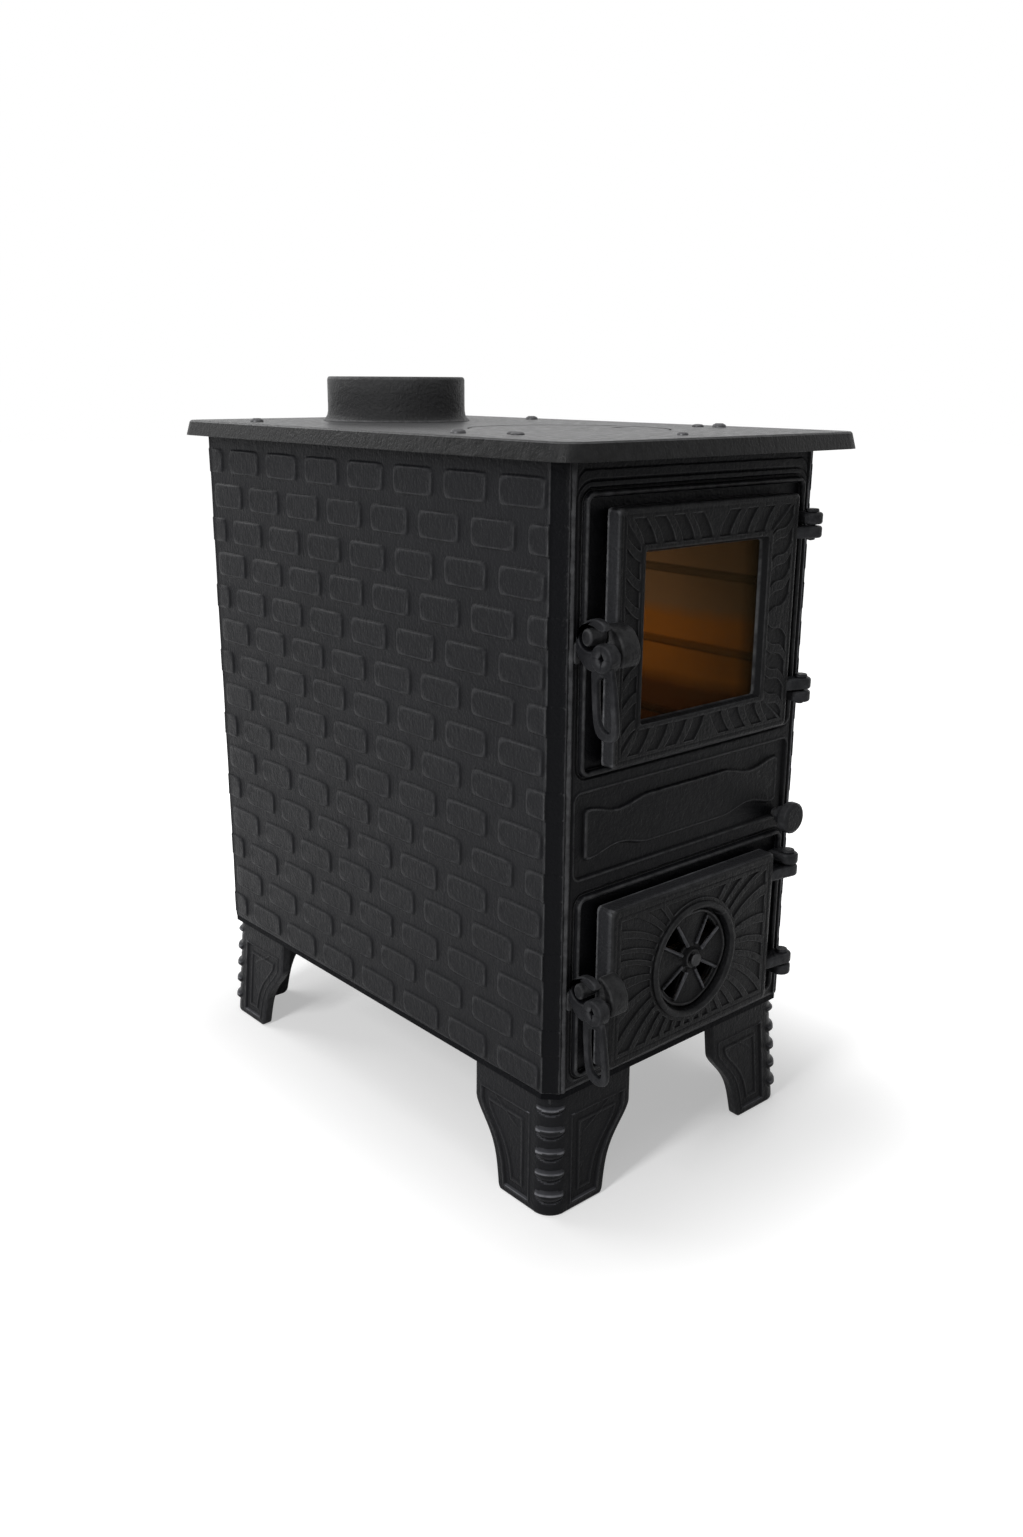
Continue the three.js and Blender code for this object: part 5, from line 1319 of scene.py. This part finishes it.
class STOVE_OT_stage(bpy.types.Operator):
    """Camera, soft studio light, white surroundings and a floor that keeps the shadow"""

    bl_idname = "stove.stage"
    bl_label = "Stage"

    def execute(self, context):
        scene = context.scene
        scene.view_settings.view_transform = "Standard"
        ahead = np.array([math.sin(YAW) * math.cos(PITCH), math.cos(YAW) * math.cos(PITCH),
                          -math.sin(PITCH)])
        right = np.array([math.cos(YAW), -math.sin(YAW), 0.0])
        up = np.cross(right, ahead)
        c, s = math.cos(ROLL), math.sin(ROLL)
        right, up = c * right + s * up, -s * right + c * up
        lens = bpy.data.cameras.new("camera")
        lens.sensor_width = SENSOR
        lens.lens = FOCAL_PIXELS * SENSOR / FRAME_HEIGHT
        lens.clip_start, lens.clip_end = 0.01, 50
        scene.camera = stand("camera", lens, CAMERA_PLACE, right, up, -ahead)
        self.surroundings(scene)
        self.floor()
        for lamp in LAMPS:
            area_light(*lamp)
        return {"FINISHED"}

    def surroundings(self, scene):
        """White to the camera, softer grey as light."""
        world = bpy.data.worlds.new("white_surroundings")
        scene.world = world
        world.use_nodes = True
        tree = world.node_tree
        tree.nodes.clear()
        dim = add(tree, "Background", {"Color": (1, 1, 1, 1), "Strength": 0.10})
        white = add(tree, "Background", {"Color": (1, 1, 1, 1)})
        both = add(tree, "MixShader", {"Fac": seen_directly(tree), 1: dim[0], 2: white[0]})
        add(tree, "OutputWorld", {"Surface": both[0]})

    def floor(self):
        """A pale floor: part of its brightness is its own to the camera, the rest is
        light on it, so that the shadow stays soft and the open floor is white. Its own
        part grows with the distance from the box round the stove's foot."""
        mesh = bpy.data.meshes.new("floor")
        mesh.from_pydata([(x * FLOOR_HALF, y * FLOOR_HALF, 0) for x, y in (
            (-1, -1), (1, -1), (1, 1), (-1, 1))], [], [(0, 1, 2, 3)])
        floor = bpy.data.objects.new("floor", mesh)
        bpy.context.scene.collection.objects.link(floor)
        finish, tree, shader = node_tree("floor_white")
        mesh.materials.append(finish)
        beyond = place_on(tree)
        for operation, value in (("ABSOLUTE", None), ("SUBTRACT", (0.15, 0.27, 0)),
                                 ("MAXIMUM", (0, 0, 0)), ("LENGTH", None)):
            inputs = {0: beyond, 1: value} if value else {0: beyond}
            away = add(tree, "VectorMath", inputs, operation=operation)
            beyond = away[0]
        own = ramp(tree, away["Value"], 0.42, 1.0, 0.0, 0.36, "SMOOTHSTEP")
        fill(tree, shader, {
            "Base Color": (0.68, 0.68, 0.68, 1), "Roughness": 1.0, "Specular IOR Level": 0.0,
            "Emission Color": (1, 1, 1, 1),
            "Emission Strength": reckon(tree, "MULTIPLY", seen_directly(tree), own)})


class STOVE_PT_panel(bpy.types.Panel):
    """Lists the builders of the stove's pieces"""

    bl_idname = "STOVE_PT_panel"
    bl_label = "Stove"
    bl_space_type = "VIEW_3D"
    bl_region_type = "UI"
    bl_category = "Stove"

    def draw(self, context):
        for owner in (context.scene.stove_sizes, context.scene.stove_colours):
            for key in owner.__annotations__:
                self.layout.prop(owner, key)
        for operator in OPERATORS:
            self.layout.operator(operator.bl_idname)


OPERATORS = (STOVE_OT_stage, STOVE_OT_sides, STOVE_OT_front, STOVE_OT_legs, STOVE_OT_hob,
             STOVE_OT_fire_door, STOVE_OT_ash_door, STOVE_OT_spinner, STOVE_OT_latches,
             STOVE_OT_shaker, STOVE_OT_inside)
CLASSES = (StoveSizes, StoveColours, *OPERATORS, STOVE_PT_panel)


def register():
    """Registers the classes and hangs the sizes and colours on the scene."""
    for item in CLASSES:
        bpy.utils.register_class(item)
    bpy.types.Scene.stove_sizes = PointerProperty(type=StoveSizes)
    bpy.types.Scene.stove_colours = PointerProperty(type=StoveColours)


def unregister():
    """Takes back what register did."""
    del bpy.types.Scene.stove_colours
    del bpy.types.Scene.stove_sizes
    for item in reversed(CLASSES):
        bpy.utils.unregister_class(item)


def main():
    """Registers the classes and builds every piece."""
    register()
    make_finishes()
    for operator in OPERATORS:
        group, action = operator.bl_idname.split(".")
        getattr(getattr(bpy.ops, group), action)()


if __name__ == "__main__":
    main()
